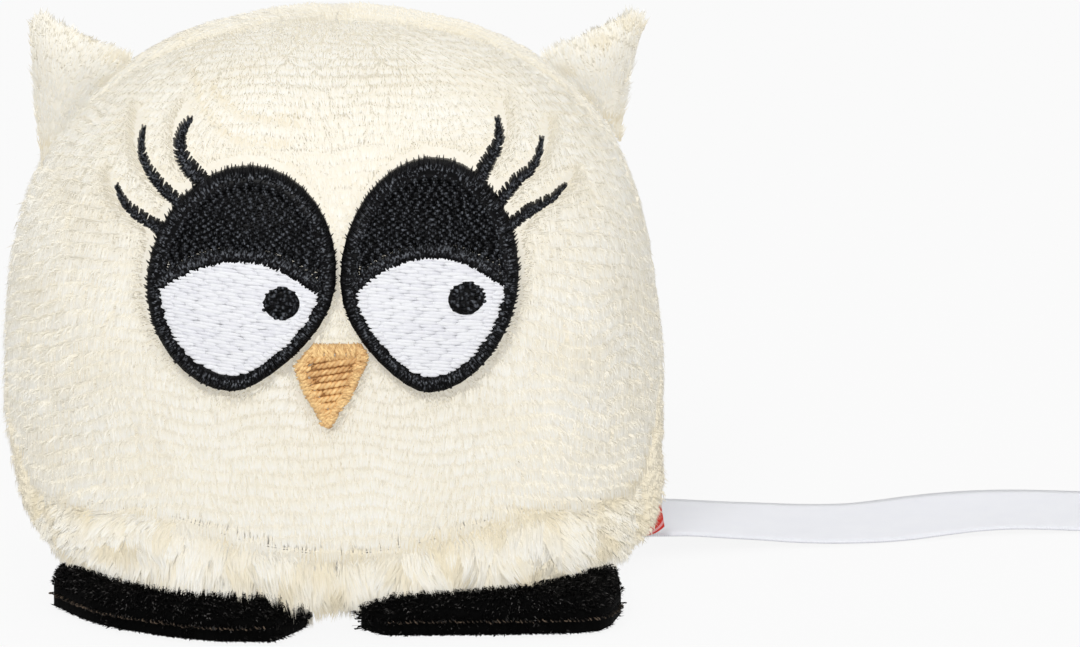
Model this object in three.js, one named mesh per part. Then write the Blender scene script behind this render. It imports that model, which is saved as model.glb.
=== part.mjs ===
// A small stuffed owl: a ball of cream plush on two flat black feet, with sewn ears, an embroidered
// face, a cloth label and a satin ribbon in its side seam. Lengths are in millimetres, +Z is up, and
// the face looks along -Y. Left and right are as seen from the front, so left is -X.
import * as THREE from 'three';
import { mergeVertices } from 'three/addons/utils/BufferGeometryUtils.js';

// The ball
const bodyWidth = 68.4;
const bodyDepth = 65;
const bodyHeight = 59.2;
const waistHeight = 21;
const standingFlat = 0.5;
const plushThickness = 2.4;
const seamGap = 0.4;
const stuffingClearance = 0.5;

// The embroidery, whose thread lies on the face panel
const threadGap = 0.3;
const fillThickness = 0.5;
const satinThickness = 0.9;
const satinWidth = 1.9;
const eyeSpacing = 19.8;
const leftEyeWidth = 19.9;
const leftEyeHeight = 22.7;
const leftEyeAltitude = 38;
const rightEyeWidth = 18.8;
const rightEyeHeight = 23.5;
const rightEyeAltitude = 38.3;
const lidLineWidth = 1.5;
const pupilWidth = 3.8;
const pupilHeight = 3.3;
const pupilThickness = 0.35;
const lashWidth = 1.5;
const beakWidth = 8;
const beakHeight = 8.6;
const beakAltitude = 27.4;
const beakBorder = 1.1;

// The ears
const earHeight = 10.4;
const leftEarLean = 4.4;
const rightEarLean = 2.4;
const earTipWidth = 1.2;
const earEdgeThickness = 0.55;
const earSwell = 1.5;
const earSeat = 0.5;

// The feet
const footThickness = 4;
const footClothThickness = 0.55;
const footRimHeight = 1.9;
const soleRimHeight = 0.4;
const footSeat = 0.35;
const footLayerGap = 0.28;
const waddingClearance = 0.4;
const stitchDiameter = 0.4;

// The label, the closing stitches and the ribbon
const labelReach = 1.4;
const labelThickness = 0.5;
const labelTop = 6.8;
const labelBottom = 3.3;
const labelSetback = -1;
const closingLength = 14;
const closingAltitude = 9;
const closingStitchWidth = 1.6;
const ribbonWidth = 16;
const ribbonThickness = 0.3;

// How boxy the ball is, seen from above, and from the front above and below its waist
const planRoundness = 2.5;
const crownRoundness = 2.55;
const baseRoundness = 4.6;

const halfWidth = bodyWidth / 2;
const halfDepth = bodyDepth / 2;
const crownRise = bodyHeight - waistHeight;
const baseDrop = waistHeight + standingFlat;

const creamPlush = cloth(0xf3ead2, 0.95);
const blackPlush = cloth(0x141416, 0.9);
const fibre = cloth(0xfafafa, 1);
const blackThread = cloth(0x17171c, 0.55);
const whiteThread = cloth(0xf1f1f6, 0.6);
const tanThread = cloth(0xd48f45, 0.55);
const creamThread = cloth(0xe9dfc4, 0.7);
const redCloth = cloth(0xd23327, 0.75);
const whiteSatin = cloth(0xf6f6fa, 0.4);

const owl = new THREE.Group();

function cloth(colour, roughness) {
  return new THREE.MeshStandardMaterial({ color: colour, roughness, metalness: 0 });
}

function addPiece(name, geometry, material) {
  const mesh = new THREE.Mesh(geometry, material);
  mesh.name = name;
  owl.add(mesh);
}

function powerSum(a, b, power) {
  return (Math.abs(a) ** power + Math.abs(b) ** power) ** (1 / power);
}

// A point of the ball, in a direction given in shares of its half sizes from the waist's centre,
// and so far under the surface. The ball is cut flat where it stands.
function ballPoint(direction, depth = 0) {
  const plan = powerSum(direction.x, direction.y, planRoundness);
  const above = direction.z > 0;
  const reach = 1 / powerSum(plan, direction.z, above ? crownRoundness : baseRoundness);
  const rise = above ? crownRise : baseDrop;
  const height = waistHeight + direction.z * reach * (rise - depth);
  return new THREE.Vector3(
    direction.x * reach * (halfWidth - depth),
    direction.y * reach * (halfDepth - depth),
    Math.max(height, depth, 0)
  );
}

// The direction in which the ball's surface faces at one of its points
function ballNormal({ x, y, z }) {
  const above = z > waistHeight;
  const rise = above ? crownRise : baseDrop;
  const power = above ? crownRoundness : baseRoundness;
  const slope = (share, size, grade) => (Math.sign(share) * Math.abs(share) ** (grade - 1)) / size;
  const plan = powerSum(x / halfWidth, y / halfDepth, planRoundness) ** (power - planRoundness);
  return new THREE.Vector3(
    slope(x / halfWidth, halfWidth, planRoundness) * plan,
    slope(y / halfDepth, halfDepth, planRoundness) * plan,
    slope((z - waistHeight) / rise, rise, power)
  ).normalize();
}

// The point of the ball's front, raised by a lift, that lies behind x and z in a front view
function facePoint(x, z, lift) {
  const above = z > waistHeight;
  const rise = (above ? crownRise : baseDrop) + lift;
  const power = above ? crownRoundness : baseRoundness;
  const level = Math.min(Math.abs(z - waistHeight) / rise, 1);
  const plan = (1 - level ** power) ** (1 / power);
  const across = Math.abs(x) / (halfWidth + lift);
  const forward = Math.max(plan ** planRoundness - across ** planRoundness, 0) ** (1 / planRoundness);
  return new THREE.Vector3(x, -forward * (halfDepth + lift), z);
}

// The height of the ball's underside over a point of the ground
function undersideHeight(x, y) {
  const plan = Math.min(powerSum(x / halfWidth, y / halfDepth, planRoundness), 1);
  return Math.max(waistHeight - baseDrop * (1 - plan ** baseRoundness) ** (1 / baseRoundness), 0);
}

// A seam through points given in shares of the ball's half sizes
function seam(...shares) {
  const points = shares.map(([x, y, z]) => new THREE.Vector3(x, y, z));
  return new THREE.CatmullRomCurve3(points, false, 'centripetal');
}

function along(...curves) {
  const path = new THREE.CurvePath();
  path.curves.push(...curves);
  return (t) => path.getPoint(t);
}

// The stretch of a route between two shares of it, run backwards where the first is the larger
function stretch(route, from, to) {
  return (t) => route(from + (to - from) * t);
}

// A point of the patch that four edges span: bottom and top run along s, left and right along t
function between({ bottom, top, left, right }, s, t) {
  const point = new THREE.Vector3();
  const mix = (edge, at, share) => point.addScaledVector(edge(at), share);
  mix(bottom, s, 1 - t);
  mix(top, s, t);
  mix(left, t, 1 - s);
  mix(right, t, s);
  mix(bottom, 0, -(1 - s) * (1 - t));
  mix(bottom, 1, -s * (1 - t));
  mix(top, 0, -(1 - s) * t);
  mix(top, 1, -s * t);
  return point;
}

// Rows of points over the unit square
function grid(columns, rows, pointAt) {
  return Array.from({ length: rows + 1 }, (_, row) =>
    Array.from({ length: columns + 1 }, (_, column) => pointAt(column / columns, row / rows))
  );
}

// The same rows with their outer ring drawn in, square to the ring's run and along the ball's
// surface, which leaves a seam's gap to the neighbours
function drawnIn(rows, gap) {
  const lastRow = rows.length - 1;
  const lastColumn = rows[0].length - 1;
  const ring = [
    ...rows[0].slice(0, lastColumn),
    ...rows.slice(0, lastRow).map((points) => points[lastColumn]),
    ...rows[lastRow].slice(1).reverse(),
    ...rows.slice(1).reverse().map((points) => points[0])
  ];
  const [row, column] = [Math.floor(lastRow / 2), Math.floor(lastColumn / 2)];
  const middle = rows[row][column];
  const over = rows[row][column + 1].clone().sub(middle);
  const up = rows[row + 1][column].clone().sub(middle);
  const hand = Math.sign(over.cross(up).dot(ballNormal(middle)));
  const moved = new Map(ring.map((point, index) => {
    const coming = point.clone().sub(ring.at(index - 1)).normalize();
    const going = ring[(index + 1) % ring.length].clone().sub(point).normalize();
    const run = coming.clone().add(going).normalize();
    const inward = ballNormal(point).cross(run).normalize();
    return [point, point.clone().addScaledVector(inward, (hand * gap) / coming.dot(run))];
  }));
  return rows.map((points) => points.map((point) => moved.get(point) ?? point));
}

// The solid between two grids of points of the same size. Closed rows run round in a ring.
function solidBetween(upper, lower, closed = false) {
  const rows = upper.length;
  const columns = upper[0].length;
  const positions = [...upper.flat(), ...lower.flat()].flatMap((point) => point.toArray());
  const under = rows * columns;
  const faces = [];
  const quad = (a, b, c, d) => faces.push(a, b, c, a, c, d);
  const spans = closed ? columns : columns - 1;
  for (let row = 0; row + 1 < rows; row++) {
    for (let column = 0; column < spans; column++) {
      const a = row * columns + column;
      const b = row * columns + (column + 1) % columns;
      quad(a, b, b + columns, a + columns);
      quad(under + a, under + a + columns, under + b + columns, under + b);
    }
  }
  for (let column = 0; column < spans; column++) {
    const next = (column + 1) % columns;
    const last = (rows - 1) * columns;
    quad(next, column, under + column, under + next);
    quad(last + column, last + next, under + last + next, under + last + column);
  }
  for (let row = 0; !closed && row + 1 < rows; row++) {
    const a = row * columns;
    const b = a + columns - 1;
    quad(a, a + columns, under + a + columns, under + a);
    quad(b + columns, b, under + b, under + b + columns);
  }
  const geometry = new THREE.BufferGeometry();
  geometry.setAttribute('position', new THREE.Float32BufferAttribute(positions, 3));
  geometry.setIndex(volumeOf(positions, faces) < 0 ? faces.reverse() : faces);
  geometry.computeVertexNormals();
  return geometry;
}

function volumeOf(positions, faces) {
  const corner = (index) => new THREE.Vector3().fromArray(positions, index * 3);
  let volume = 0;
  for (let face = 0; face < faces.length; face += 3) {
    const [a, b, c] = faces.slice(face, face + 3).map(corner);
    volume += a.dot(b.cross(c)) / 6;
  }
  return volume;
}

// The seams of the right half, in shares of the half sizes. The left half mirrors them.
const centreFrontShares = [0, -0.964, -0.61];
const centreBaseShares = [0, -0.8, -0.87];
const centreTailShares = [0, 0.81, -0.87];
const crownShares = [0, 0, 1];
const hipShares = [0.78, -0.277, -0.874];
const cheekShares = [0.912, -0.446, -0.42];
const earShares = [0.77, 0, 0.754];
const chinSeamShares = [cheekShares, [0.53, -0.903, -0.42], [0.27, -0.95, -0.53], centreFrontShares];
const toeSeamShares = [hipShares, [0.5, -0.684, -0.88], centreBaseShares];
const lowSideShares = [hipShares, [0.87, -0.36, -0.65], cheekShares];
const highSideShares = [cheekShares, [0.985, -0.2, 0], [0.93, -0.03, 0.45], earShares];
const crownSeamShares = [earShares, [0.42, 0, 0.95], crownShares];
const chinCentreShares = [centreFrontShares, [0, -0.92, -0.78], centreBaseShares];
const backSeamShares = [crownShares, [0, 0.72, 0.75], [0, 1, 0], [0, 0.95, -0.6], centreTailShares];
const tailSeamShares = [
  hipShares, [0.805, 0.1, -0.87], [0.75, 0.41, -0.87], [0.62, 0.61, -0.87], [0.42, 0.74, -0.87],
  [0.2, 0.8, -0.87], centreTailShares
];
// How far round the tail seam, from the hip, the base panel's corner lies
const heelShare = 0.5;

function sideSeam(shares, side) {
  return seam(...shares.map(([x, y, z]) => [x * side, y, z]));
}

// A plush panel over the filling, between four seams. Its middle is drawn towards a direction, given
// in shares of the half sizes, so that its rows spread evenly over the ball. The pull is nothing at
// the seams and whole in the middle.
function panel(edges, columns, rows, middle = [0, 0, 0]) {
  const pull = new THREE.Vector3(...middle);
  const direction = (s, t) =>
    between(edges, s, t).addScaledVector(pull, 16 * s * (1 - s) * t * (1 - t));
  const layer = (depth) =>
    drawnIn(grid(columns, rows, (s, t) => ballPoint(direction(s, t), depth)), seamGap / 2);
  return solidBetween(layer(0), layer(plushThickness));
}

function addPanels() {
  const side = (shares, sign) => along(sideSeam(shares, sign));
  const whole = (shares, from = 0) => {
    const left = stretch(side(shares, -1), from, 1);
    const right = stretch(side(shares, 1), 1, from);
    return (t) => (t < 0.5 ? left(2 * t) : right(2 * t - 1));
  };
  addPiece('front_panel', panel({
    bottom: whole(chinSeamShares),
    top: whole(crownSeamShares),
    left: side(highSideShares, -1),
    right: side(highSideShares, 1)
  }, 22, 16, [0, -0.9, 0]), creamPlush);
  addPiece('base_panel', panel({
    bottom: whole(toeSeamShares),
    top: whole(tailSeamShares, heelShare),
    left: stretch(side(tailSeamShares, -1), 0, heelShare),
    right: stretch(side(tailSeamShares, 1), 0, heelShare)
  }, 12, 10), creamPlush);
  for (const [name, sign] of [['left', -1], ['right', 1]]) {
    addPiece(`chin_panel_${name}`, panel({
      bottom: side(toeSeamShares, sign),
      top: side(chinSeamShares, sign),
      left: side(lowSideShares, sign),
      right: stretch(side(chinCentreShares, sign), 1, 0)
    }, 11, 4), creamPlush);
    addPiece(`back_panel_${name}`, panel({
      bottom: side(tailSeamShares, sign),
      top: side(crownSeamShares, sign),
      left: along(sideSeam(lowSideShares, sign), sideSeam(highSideShares, sign)),
      right: stretch(side(backSeamShares, sign), 1, 0)
    }, 12, 16, [0.5 * sign, 0.5, 0]), creamPlush);
  }
}

// The filling swells and tapers as the ball does, inside the panels
function addStuffing() {
  const ball = new THREE.SphereGeometry(1, 26, 16);
  ball.deleteAttribute('normal');
  ball.deleteAttribute('uv');
  const geometry = mergeVertices(ball);
  const corners = geometry.getAttribute('position');
  const corner = new THREE.Vector3();
  for (let index = 0; index < corners.count; index++) {
    corner.fromBufferAttribute(corners, index);
    corner.copy(ballPoint(corner, plushThickness + stuffingClearance));
    corners.setXYZ(index, corner.x, corner.y, corner.z);
  }
  geometry.computeVertexNormals();
  addPiece('stuffing', geometry, fibre);
}

// Thread stitched on the face: rows of points in a front view, which become a raised solid. The
// middle rows of satin stand highest.
function stitched(outline, { lift = threadGap, thickness, crown = 0, closed = false }) {
  const last = outline.length - 1;
  const raised = (extra) =>
    outline.map((points, row) => {
      const swell = extra ? thickness + crown * Math.sin((Math.PI * row) / last) : 0;
      return points.map(([x, z]) => facePoint(x, z, lift + swell));
    });
  return solidBetween(raised(true), raised(false), closed);
}

function spaced(count, from, to, pointAt) {
  return Array.from({ length: count + 1 }, (_, index) => pointAt(from + ((to - from) * index) / count));
}

// An eye is an egg, with a curved lid line across it. Below, it narrows more towards the beak than
// towards the cheek. The left eye leans towards the beak with its top.
const beakSideEggShare = 0.38;
const cheekSideEggShare = 0.1;
const lidPeakShare = 0.24;
const lidDropShare = 0.42;
const eyes = {
  left: {
    side: -1, width: leftEyeWidth, height: leftEyeHeight, altitude: leftEyeAltitude,
    leanShare: 0.1,
    pupilShares: [0.43, -0.17],
    lashShares: [
      { root: 2.15, path: [[-0.56, 0.95], [-0.64, 1.06], [-0.64, 1.18], [-0.54, 1.32]] },
      { root: 2.42, path: [[-0.84, 0.76], [-1.01, 0.92], [-1.06, 1.06], [-1.03, 1.2]] },
      { root: 2.75, path: [[-1.09, 0.5], [-1.24, 0.59], [-1.32, 0.71]] }
    ]
  },
  right: {
    side: 1, width: rightEyeWidth, height: rightEyeHeight, altitude: rightEyeAltitude,
    leanShare: 0,
    pupilShares: [0.41, -0.17],
    lashShares: [
      { root: 1.02, path: [[0.66, 0.94], [0.75, 1.03], [0.77, 1.14], [0.74, 1.24]] },
      { root: 0.68, path: [[0.97, 0.75], [1.13, 0.82], [1.23, 0.96], [1.24, 1.04]] },
      { root: 0.38, path: [[1.12, 0.5], [1.34, 0.56], [1.52, 0.65]] }
    ]
  }
};

function eyeOutline(eye, angle, inset) {
  const eggShare = Math.cos(angle) * eye.side > 0 ? cheekSideEggShare : beakSideEggShare;
  const narrowing = 1 - eggShare * Math.min(Math.sin(angle), 0) ** 2;
  const across = (eye.width / 2 - inset) * Math.cos(angle) * narrowing;
  const up = (eye.height / 2 - inset) * Math.sin(angle);
  return [(eye.side * eyeSpacing) / 2 + across + eye.leanShare * up, eye.altitude + up];
}

function lidLine(eye, x, offset) {
  const share = (x - (eye.side * eyeSpacing) / 2) / (eye.width / 2);
  return [x, eye.altitude + (eye.height / 2) * (lidPeakShare - lidDropShare * share ** 2) + offset];
}

// The angle at which the eye's inner edge meets the lid line, on the left or the right
function lidMeeting(eye, inset, offset, leftHand) {
  let low = -Math.PI / 2;
  let high = Math.PI / 2;
  for (let step = 0; step < 40; step++) {
    const middle = (low + high) / 2;
    const [x, z] = eyeOutline(eye, leftHand ? Math.PI - middle : middle, inset);
    if (z > lidLine(eye, x, offset)[1]) high = middle;
    else low = middle;
  }
  return leftHand ? Math.PI - low : low;
}

// Rows from one curve to another, both given over a share of their length
function ruled(lower, upper, columns, rows, trim) {
  return spaced(rows, 0, 1, (t) =>
    spaced(columns, trim, 1 - trim, (s) => {
      const [a, b] = [lower(s), upper(s)];
      return [a[0] + (b[0] - a[0]) * t, a[1] + (b[1] - a[1]) * t];
    })
  );
}

function mix(from, to, share) {
  return from + (to - from) * share;
}

function addEye(name, eye) {
  const inner = satinWidth + threadGap;
  const halfLine = lidLineWidth / 2;
  const trimShare = 0.04;
  const steps = 32;
  const ring = spaced(2, 0, satinWidth, (inset) =>
    spaced(steps - 1, 0, (2 * Math.PI * (steps - 1)) / steps, (angle) => eyeOutline(eye, angle, inset)));
  addPiece(`eye_${name}_outline`, stitched(ring,
    { thickness: satinThickness, crown: fillThickness / 2, closed: true }), blackThread);

  const lidEdge = (offset, s) => {
    const start = eyeOutline(eye, lidMeeting(eye, inner, offset, true), inner)[0];
    const end = eyeOutline(eye, lidMeeting(eye, inner, offset, false), inner)[0];
    return lidLine(eye, mix(start, end, s), offset);
  };
  const eggEdge = (offset, over) => (s) => {
    const start = lidMeeting(eye, inner, offset, true) - (over ? 0 : 2 * Math.PI);
    const end = lidMeeting(eye, inner, offset, false);
    return eyeOutline(eye, mix(start, end, s), inner);
  };
  const lidBase = halfLine + threadGap;
  addPiece(`eye_${name}_lid_fill`, stitched(
    ruled((s) => lidEdge(lidBase, s), eggEdge(lidBase, true), 14, 4, trimShare),
    { thickness: fillThickness }), blackThread);
  addPiece(`eye_${name}_white_fill`, stitched(
    ruled(eggEdge(-lidBase, false), (s) => lidEdge(-lidBase, s), 14, 5, trimShare),
    { thickness: fillThickness }), whiteThread);
  addPiece(`eye_${name}_lid_line`, stitched(
    ruled((s) => lidEdge(-halfLine, s), (s) => lidEdge(halfLine, s), 12, 2, trimShare / 2),
    { thickness: fillThickness, crown: fillThickness / 2 }), blackThread);

  const [pupilX, pupilZ] = eye.pupilShares;
  const pupilEdge = (sign) => (s) => [
    (eye.side * eyeSpacing) / 2 + (pupilX * eye.width) / 2 - (Math.cos(Math.PI * s) * pupilWidth) / 2,
    eye.altitude + (pupilZ * eye.height) / 2 + (sign * Math.sin(Math.PI * s) * pupilHeight) / 2
  ];
  addPiece(`eye_${name}_pupil`, stitched(
    ruled(pupilEdge(-1), pupilEdge(1), 8, 2, trimShare),
    { lift: threadGap + fillThickness + threadGap, thickness: pupilThickness }), blackThread);
  eye.lashShares.forEach((lash, index) => addLash(`eye_${name}_lash_${index + 1}`, eye, lash));
}

// A lash grows from the eye's satin edge and tapers to its tip
function addLash(name, eye, { root, path }) {
  const tipShare = 0.35;
  const rootAngle = lashWidth / eye.height;
  const centre = (angle) => eyeOutline(eye, angle, -threadGap);
  const start = centre(root);
  const points = path.map(([x, z]) => [
    (eye.side * eyeSpacing) / 2 + (x * eye.width) / 2, eye.altitude + (z * eye.height) / 2
  ]);
  const line = new THREE.CatmullRomCurve3(
    [start, ...points].map(([x, z]) => new THREE.Vector3(x, 0, z)), false, 'centripetal');
  const steps = 7;
  const sides = [1, 0, -1].map((side) => {
    const edge = spaced(steps, 0, 1, (t) => {
      const half = (lashWidth / 2) * mix(1, tipShare, t);
      const at = line.getPointAt(t);
      const run = line.getTangentAt(t);
      return [at.x - run.z * half * side, at.z + run.x * half * side];
    });
    edge[0] = centre(root + rootAngle * side);
    return edge;
  });
  addPiece(name, stitched(sides, { thickness: fillThickness, crown: fillThickness / 2 }), blackThread);
}

// The beak's right and left sides from its top edge to its tip, in shares of its width and height
const beakRightShares = [[0.34, 0.5], [0.44, 0.34], [0.2, -0.14], [-0.07, -0.5]];
const beakLeftShares = [[-0.29, 0.5], [-0.54, 0.22], [-0.4, -0.12], [-0.15, -0.48]];
const beakHeartShares = [-0.04, 0.1];

function addBeak() {
  const place = ([x, z], share) => [
    beakWidth * mix(beakHeartShares[0], x, share),
    beakAltitude + beakHeight * mix(beakHeartShares[1], z, share)
  ];
  const edge = (shares, share) => {
    const path = new THREE.CurvePath();
    const corners = shares.map((corner) => new THREE.Vector2(...place(corner, share)));
    for (let index = 1; index < corners.length; index++) {
      path.add(new THREE.LineCurve(corners[index - 1], corners[index]));
    }
    return (t) => path.getPoint(t).toArray();
  };
  const loop = (share) => [
    ...spaced(8, 0, 1, edge(beakRightShares, share)),
    ...spaced(8, 1, 0, edge(beakLeftShares, share)),
    ...spaced(2, 0.25, 0.75, (t) => {
      const [x, z] = [beakLeftShares[0], beakRightShares[0]].map((corner) => place(corner, share));
      return [mix(x[0], z[0], t), mix(x[1], z[1], t)];
    })
  ];
  const innerShare = 1 - (2 * beakBorder) / beakWidth;
  const fillShare = innerShare - (2 * threadGap) / beakWidth;
  addPiece('beak_outline', stitched([loop(1), loop((1 + innerShare) / 2), loop(innerShare)],
    { thickness: fillThickness, crown: fillThickness / 2, closed: true }), tanThread);
  const trimShare = 0.03;
  addPiece('beak_fill', stitched(
    ruled(edge(beakLeftShares, fillShare), edge(beakRightShares, fillShare), 9, 4, trimShare),
    { thickness: fillThickness }), tanThread);
}

// An ear stands in the side seam where it passes over the corner of the ball. Its two layers are
// pinched at their edges and swell between them. The right ear is sewn in over a shorter stretch of
// the seam. The curve shares say how far each ear's inner and outer edges bow out, in ear heights.
const ears = {
  left: { side: -1, lean: leftEarLean, rootShares: [0.63, 0.9], curveShares: [-0.03, 0.01] },
  right: { side: 1, lean: rightEarLean, rootShares: [0.63, 0.86], curveShares: [0.03, -0.12] }
};

function earRoot({ side, rootShares }, share) {
  const across = mix(rootShares[0], rootShares[1], share);
  const up = (1 - across ** crownRoundness) ** (1 / crownRoundness);
  return ballPoint(new THREE.Vector3(side * across, 0, up), -earSeat);
}

function earFrame(ear) {
  const inner = earRoot(ear, 0);
  const outer = earRoot(ear, 1);
  const { side, lean } = ear;
  const chord = outer.clone().sub(inner).normalize();
  const outward = new THREE.Vector3(-chord.z * side, 0, chord.x * side);
  const middle = inner.clone().add(outer).multiplyScalar(0.5);
  const tip = middle.clone().addScaledVector(outward, earHeight).addScaledVector(chord, -lean);
  return { inner, outer, chord, outward, middle, tip };
}

function addEar(name, ear) {
  const { inner, outer, chord, tip } = earFrame(ear);
  const flank = (root, sign, curveShare) => {
    const end = tip.clone().addScaledVector(chord, (sign * earTipWidth) / 2);
    const run = end.clone().sub(root).normalize();
    const away = new THREE.Vector3(run.z, 0, -run.x).multiplyScalar(ear.side * sign);
    const bulge = root.clone().add(end).multiplyScalar(0.5);
    bulge.addScaledVector(away, earHeight * curveShare);
    const curve = new THREE.QuadraticBezierCurve3(root, bulge, end);
    return (t) => curve.getPoint(t);
  };
  const edges = {
    bottom: (s) => earRoot(ear, s),
    top: (s) => tip.clone().addScaledVector(chord, (s - 0.5) * earTipWidth),
    left: flank(inner, -1, ear.curveShares[0]),
    right: flank(outer, 1, ear.curveShares[1])
  };
  const layer = (facing, thickness) => grid(6, 7, (s, t) => {
    const swell = earSwell * Math.sin(Math.PI * s) * Math.sin(Math.PI * t ** 0.8);
    const point = between(edges, s, t);
    point.y += facing * (seamGap / 2 + thickness * (earEdgeThickness + swell));
    return point;
  });
  addPiece(`ear_${name}_front`, solidBetween(layer(-1, 1), layer(-1, 0)), creamPlush);
  addPiece(`ear_${name}_back`, solidBetween(layer(1, 1), layer(1, 0)), creamPlush);
}

// A foot is a flat pad sewn in under the chin. Its rim is given in shares of the ball's half width
// and half depth, from its inner end round the toes to its outer end.
const footRootShares = { left: [0.1, 1.27], right: [0.1, 1.27] };
const footRootLevelShare = 1.07;
const footRimShares = {
  left: {
    inner: [[-0.1, -0.93]],
    toe: [[-0.19, -1.1], [-0.37, -1.09], [-0.55, -1.01], [-0.735, -0.87], [-0.872, -0.64]],
    outer: [[-0.86, -0.42]]
  },
  right: {
    inner: [[0.08, -0.93]],
    toe: [[0.15, -1.02], [0.37, -1.01], [0.6, -1.0], [0.81, -0.96], [0.875, -0.74]],
    outer: [[0.86, -0.45]]
  }
};

function footPlan(name, side) {
  const [first, last] = footRootShares[name];
  const root = (s) => {
    const angle = mix(first, last, s);
    const direction = new THREE.Vector3(side * Math.sin(angle), -Math.cos(angle), 0);
    direction.divideScalar(powerSum(direction.x, direction.y, planRoundness));
    return ballPoint(direction.setZ(-footRootLevelShare)).setZ(0);
  };
  const place = ([x, y]) => new THREE.Vector3(x * halfWidth, y * halfDepth, 0);
  const { inner, toe, outer } = footRimShares[name];
  const smooth = (points) => new THREE.CatmullRomCurve3(points, false, 'centripetal');
  const route = (points) => along(smooth(points));
  const toes = toe.map(place);
  return {
    heading: (t) => smooth(toes).getTangentAt(t),
    bottom: root,
    top: route(toes),
    left: route([root(0), ...inner.map(place), toes[0]]),
    right: route([root(1), ...outer.map(place), toes[toes.length - 1]])
  };
}

const curlStartShare = 0.72;

// The heights of a foot's cloth over its plan, where the rim share runs from 0 in the middle of the
// pad to 1 at its rim
function footHeights(plan, s, t) {
  const point = between(plan, s, t);
  const rim = Math.min(powerSum(2 * s - 1, t, 6), 1);
  const curl = Math.max((rim - curlStartShare) / (1 - curlStartShare), 0) ** 2;
  const under = undersideHeight(point.x, point.y) - footSeat;
  const seamHeight = Math.min(footRimHeight, under / 2);
  const seamLow = seamHeight - footLayerGap / 2;
  const seamHigh = seamHeight + footLayerGap / 2;
  const soleBottom = mix(0, Math.max(Math.min(soleRimHeight, seamLow - footClothThickness), 0), curl);
  const top = Math.min(mix(footThickness, seamHigh + footClothThickness, curl), under);
  const soleTop = mix(footClothThickness, seamLow, curl);
  return { point, soleBottom, soleTop, top, upperBottom: top - footClothThickness };
}

function addFoot(name, side) {
  const plan = footPlan(name, side);
  const layer = (pick) =>
    grid(12, 7, (s, t) => {
      const heights = footHeights(plan, s, t);
      return heights.point.clone().setZ(pick(heights));
    });
  addPiece(`foot_${name}_sole`,
    solidBetween(layer((at) => at.soleTop), layer((at) => at.soleBottom)), blackPlush);
  addPiece(`foot_${name}_upper`,
    solidBetween(layer((at) => at.top), layer((at) => at.upperBottom)), blackPlush);
  // The wadding stays clear of the rim, so it leaves out the outer rows and columns of the pad's grid
  const filled = (pick) => layer(pick).slice(2, 7).map((row) => row.slice(2, 11));
  addPiece(`foot_${name}_wadding`, solidBetween(
    filled((at) => at.upperBottom - waddingClearance),
    filled((at) => at.soleTop + waddingClearance)), fibre);

  const away = footLayerGap + stitchDiameter / 2;
  const rim = spaced(12, 0, 1, (s) => {
    const at = plan.top(s);
    const run = plan.heading(s);
    return at.add(new THREE.Vector3(side * run.y, -side * run.x, 0).multiplyScalar(away))
      .setZ(footRimHeight);
  });
  addPiece(`foot_${name}_stitching`, threadAlong(rim, 22), blackThread);
}

// A thread of round section along a smooth route
function threadAlong(points, steps) {
  const section = new THREE.Shape();
  section.absarc(0, 0, stitchDiameter / 2, 0, 2 * Math.PI);
  return new THREE.ExtrudeGeometry(section, {
    steps, curveSegments: 3, bevelEnabled: false,
    extrudePath: new THREE.CatmullRomCurve3(points, false, 'centripetal')
  });
}

// The hand stitches that close the back seam zigzag across it
function addClosingThread() {
  const zigzags = 8;
  const lift = threadGap + stitchDiameter / 2;
  const points = spaced(zigzags, 0, 1, (t) => {
    const side = Math.round(t * zigzags) % 2 ? 1 : -1;
    const z = closingAltitude + closingLength * t;
    const at = facePoint((side * closingStitchWidth) / 2, z, lift);
    return at.setY(-at.y);
  });
  addPiece('closing_thread', threadAlong(points, zigzags * 4), creamThread);
}

// The label is a folded tab of woven cloth, upright in the side seam just before the ribbon
function labelEdges() {
  const onBall = (z) => {
    const level = (waistHeight - z) / baseDrop;
    const plan = (1 - level ** baseRoundness) ** (1 / baseRoundness);
    const back = Math.abs(labelSetback) / halfDepth;
    const across = (plan ** planRoundness - back ** planRoundness) ** (1 / planRoundness);
    return new THREE.Vector3(across * halfWidth + seamGap, labelSetback, z);
  };
  return { seam: (t) => onBall(mix(labelBottom, labelTop, t)), reach: onBall(labelTop).x + labelReach };
}

function addLabel() {
  const { seam: sewn, reach } = labelEdges();
  const side = (facing) => grid(3, 6, (s, t) => {
    const point = sewn(t);
    point.x = mix(point.x, reach, s);
    point.y += (facing * labelThickness) / 2;
    return point;
  });
  addPiece('side_label', solidBetween(side(-1), side(1)), redCloth);
}

// The ribbon leaves the side seam behind the label, comes down to the ground and lies along it
const ribbonRoute = [
  [29.4, 8.2, 2.5], [31.2, 8.5, 2.47], [33.8, 9, 2.33], [37, 10, 1.95], [41, 11.1, 1.45],
  [45, 12.1, 0.98], [49, 12.8, 0.62], [53, 13.5, 0.4], [57, 14.5, 0.3], [61, 15.8, 0.3],
  [66, 17.3, 0.3], [71, 18.3, 0.3], [76, 18.8, 0.3], [82, 18.9, 0.3], [89, 18.4, 0.3],
  [97, 17.4, 0.3], [105, 16.4, 0.3], [113, 15.7, 0.3], [121, 15.4, 0.3], [129, 15.6, 0.3],
  [137, 16.2, 0.3]
];

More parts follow.
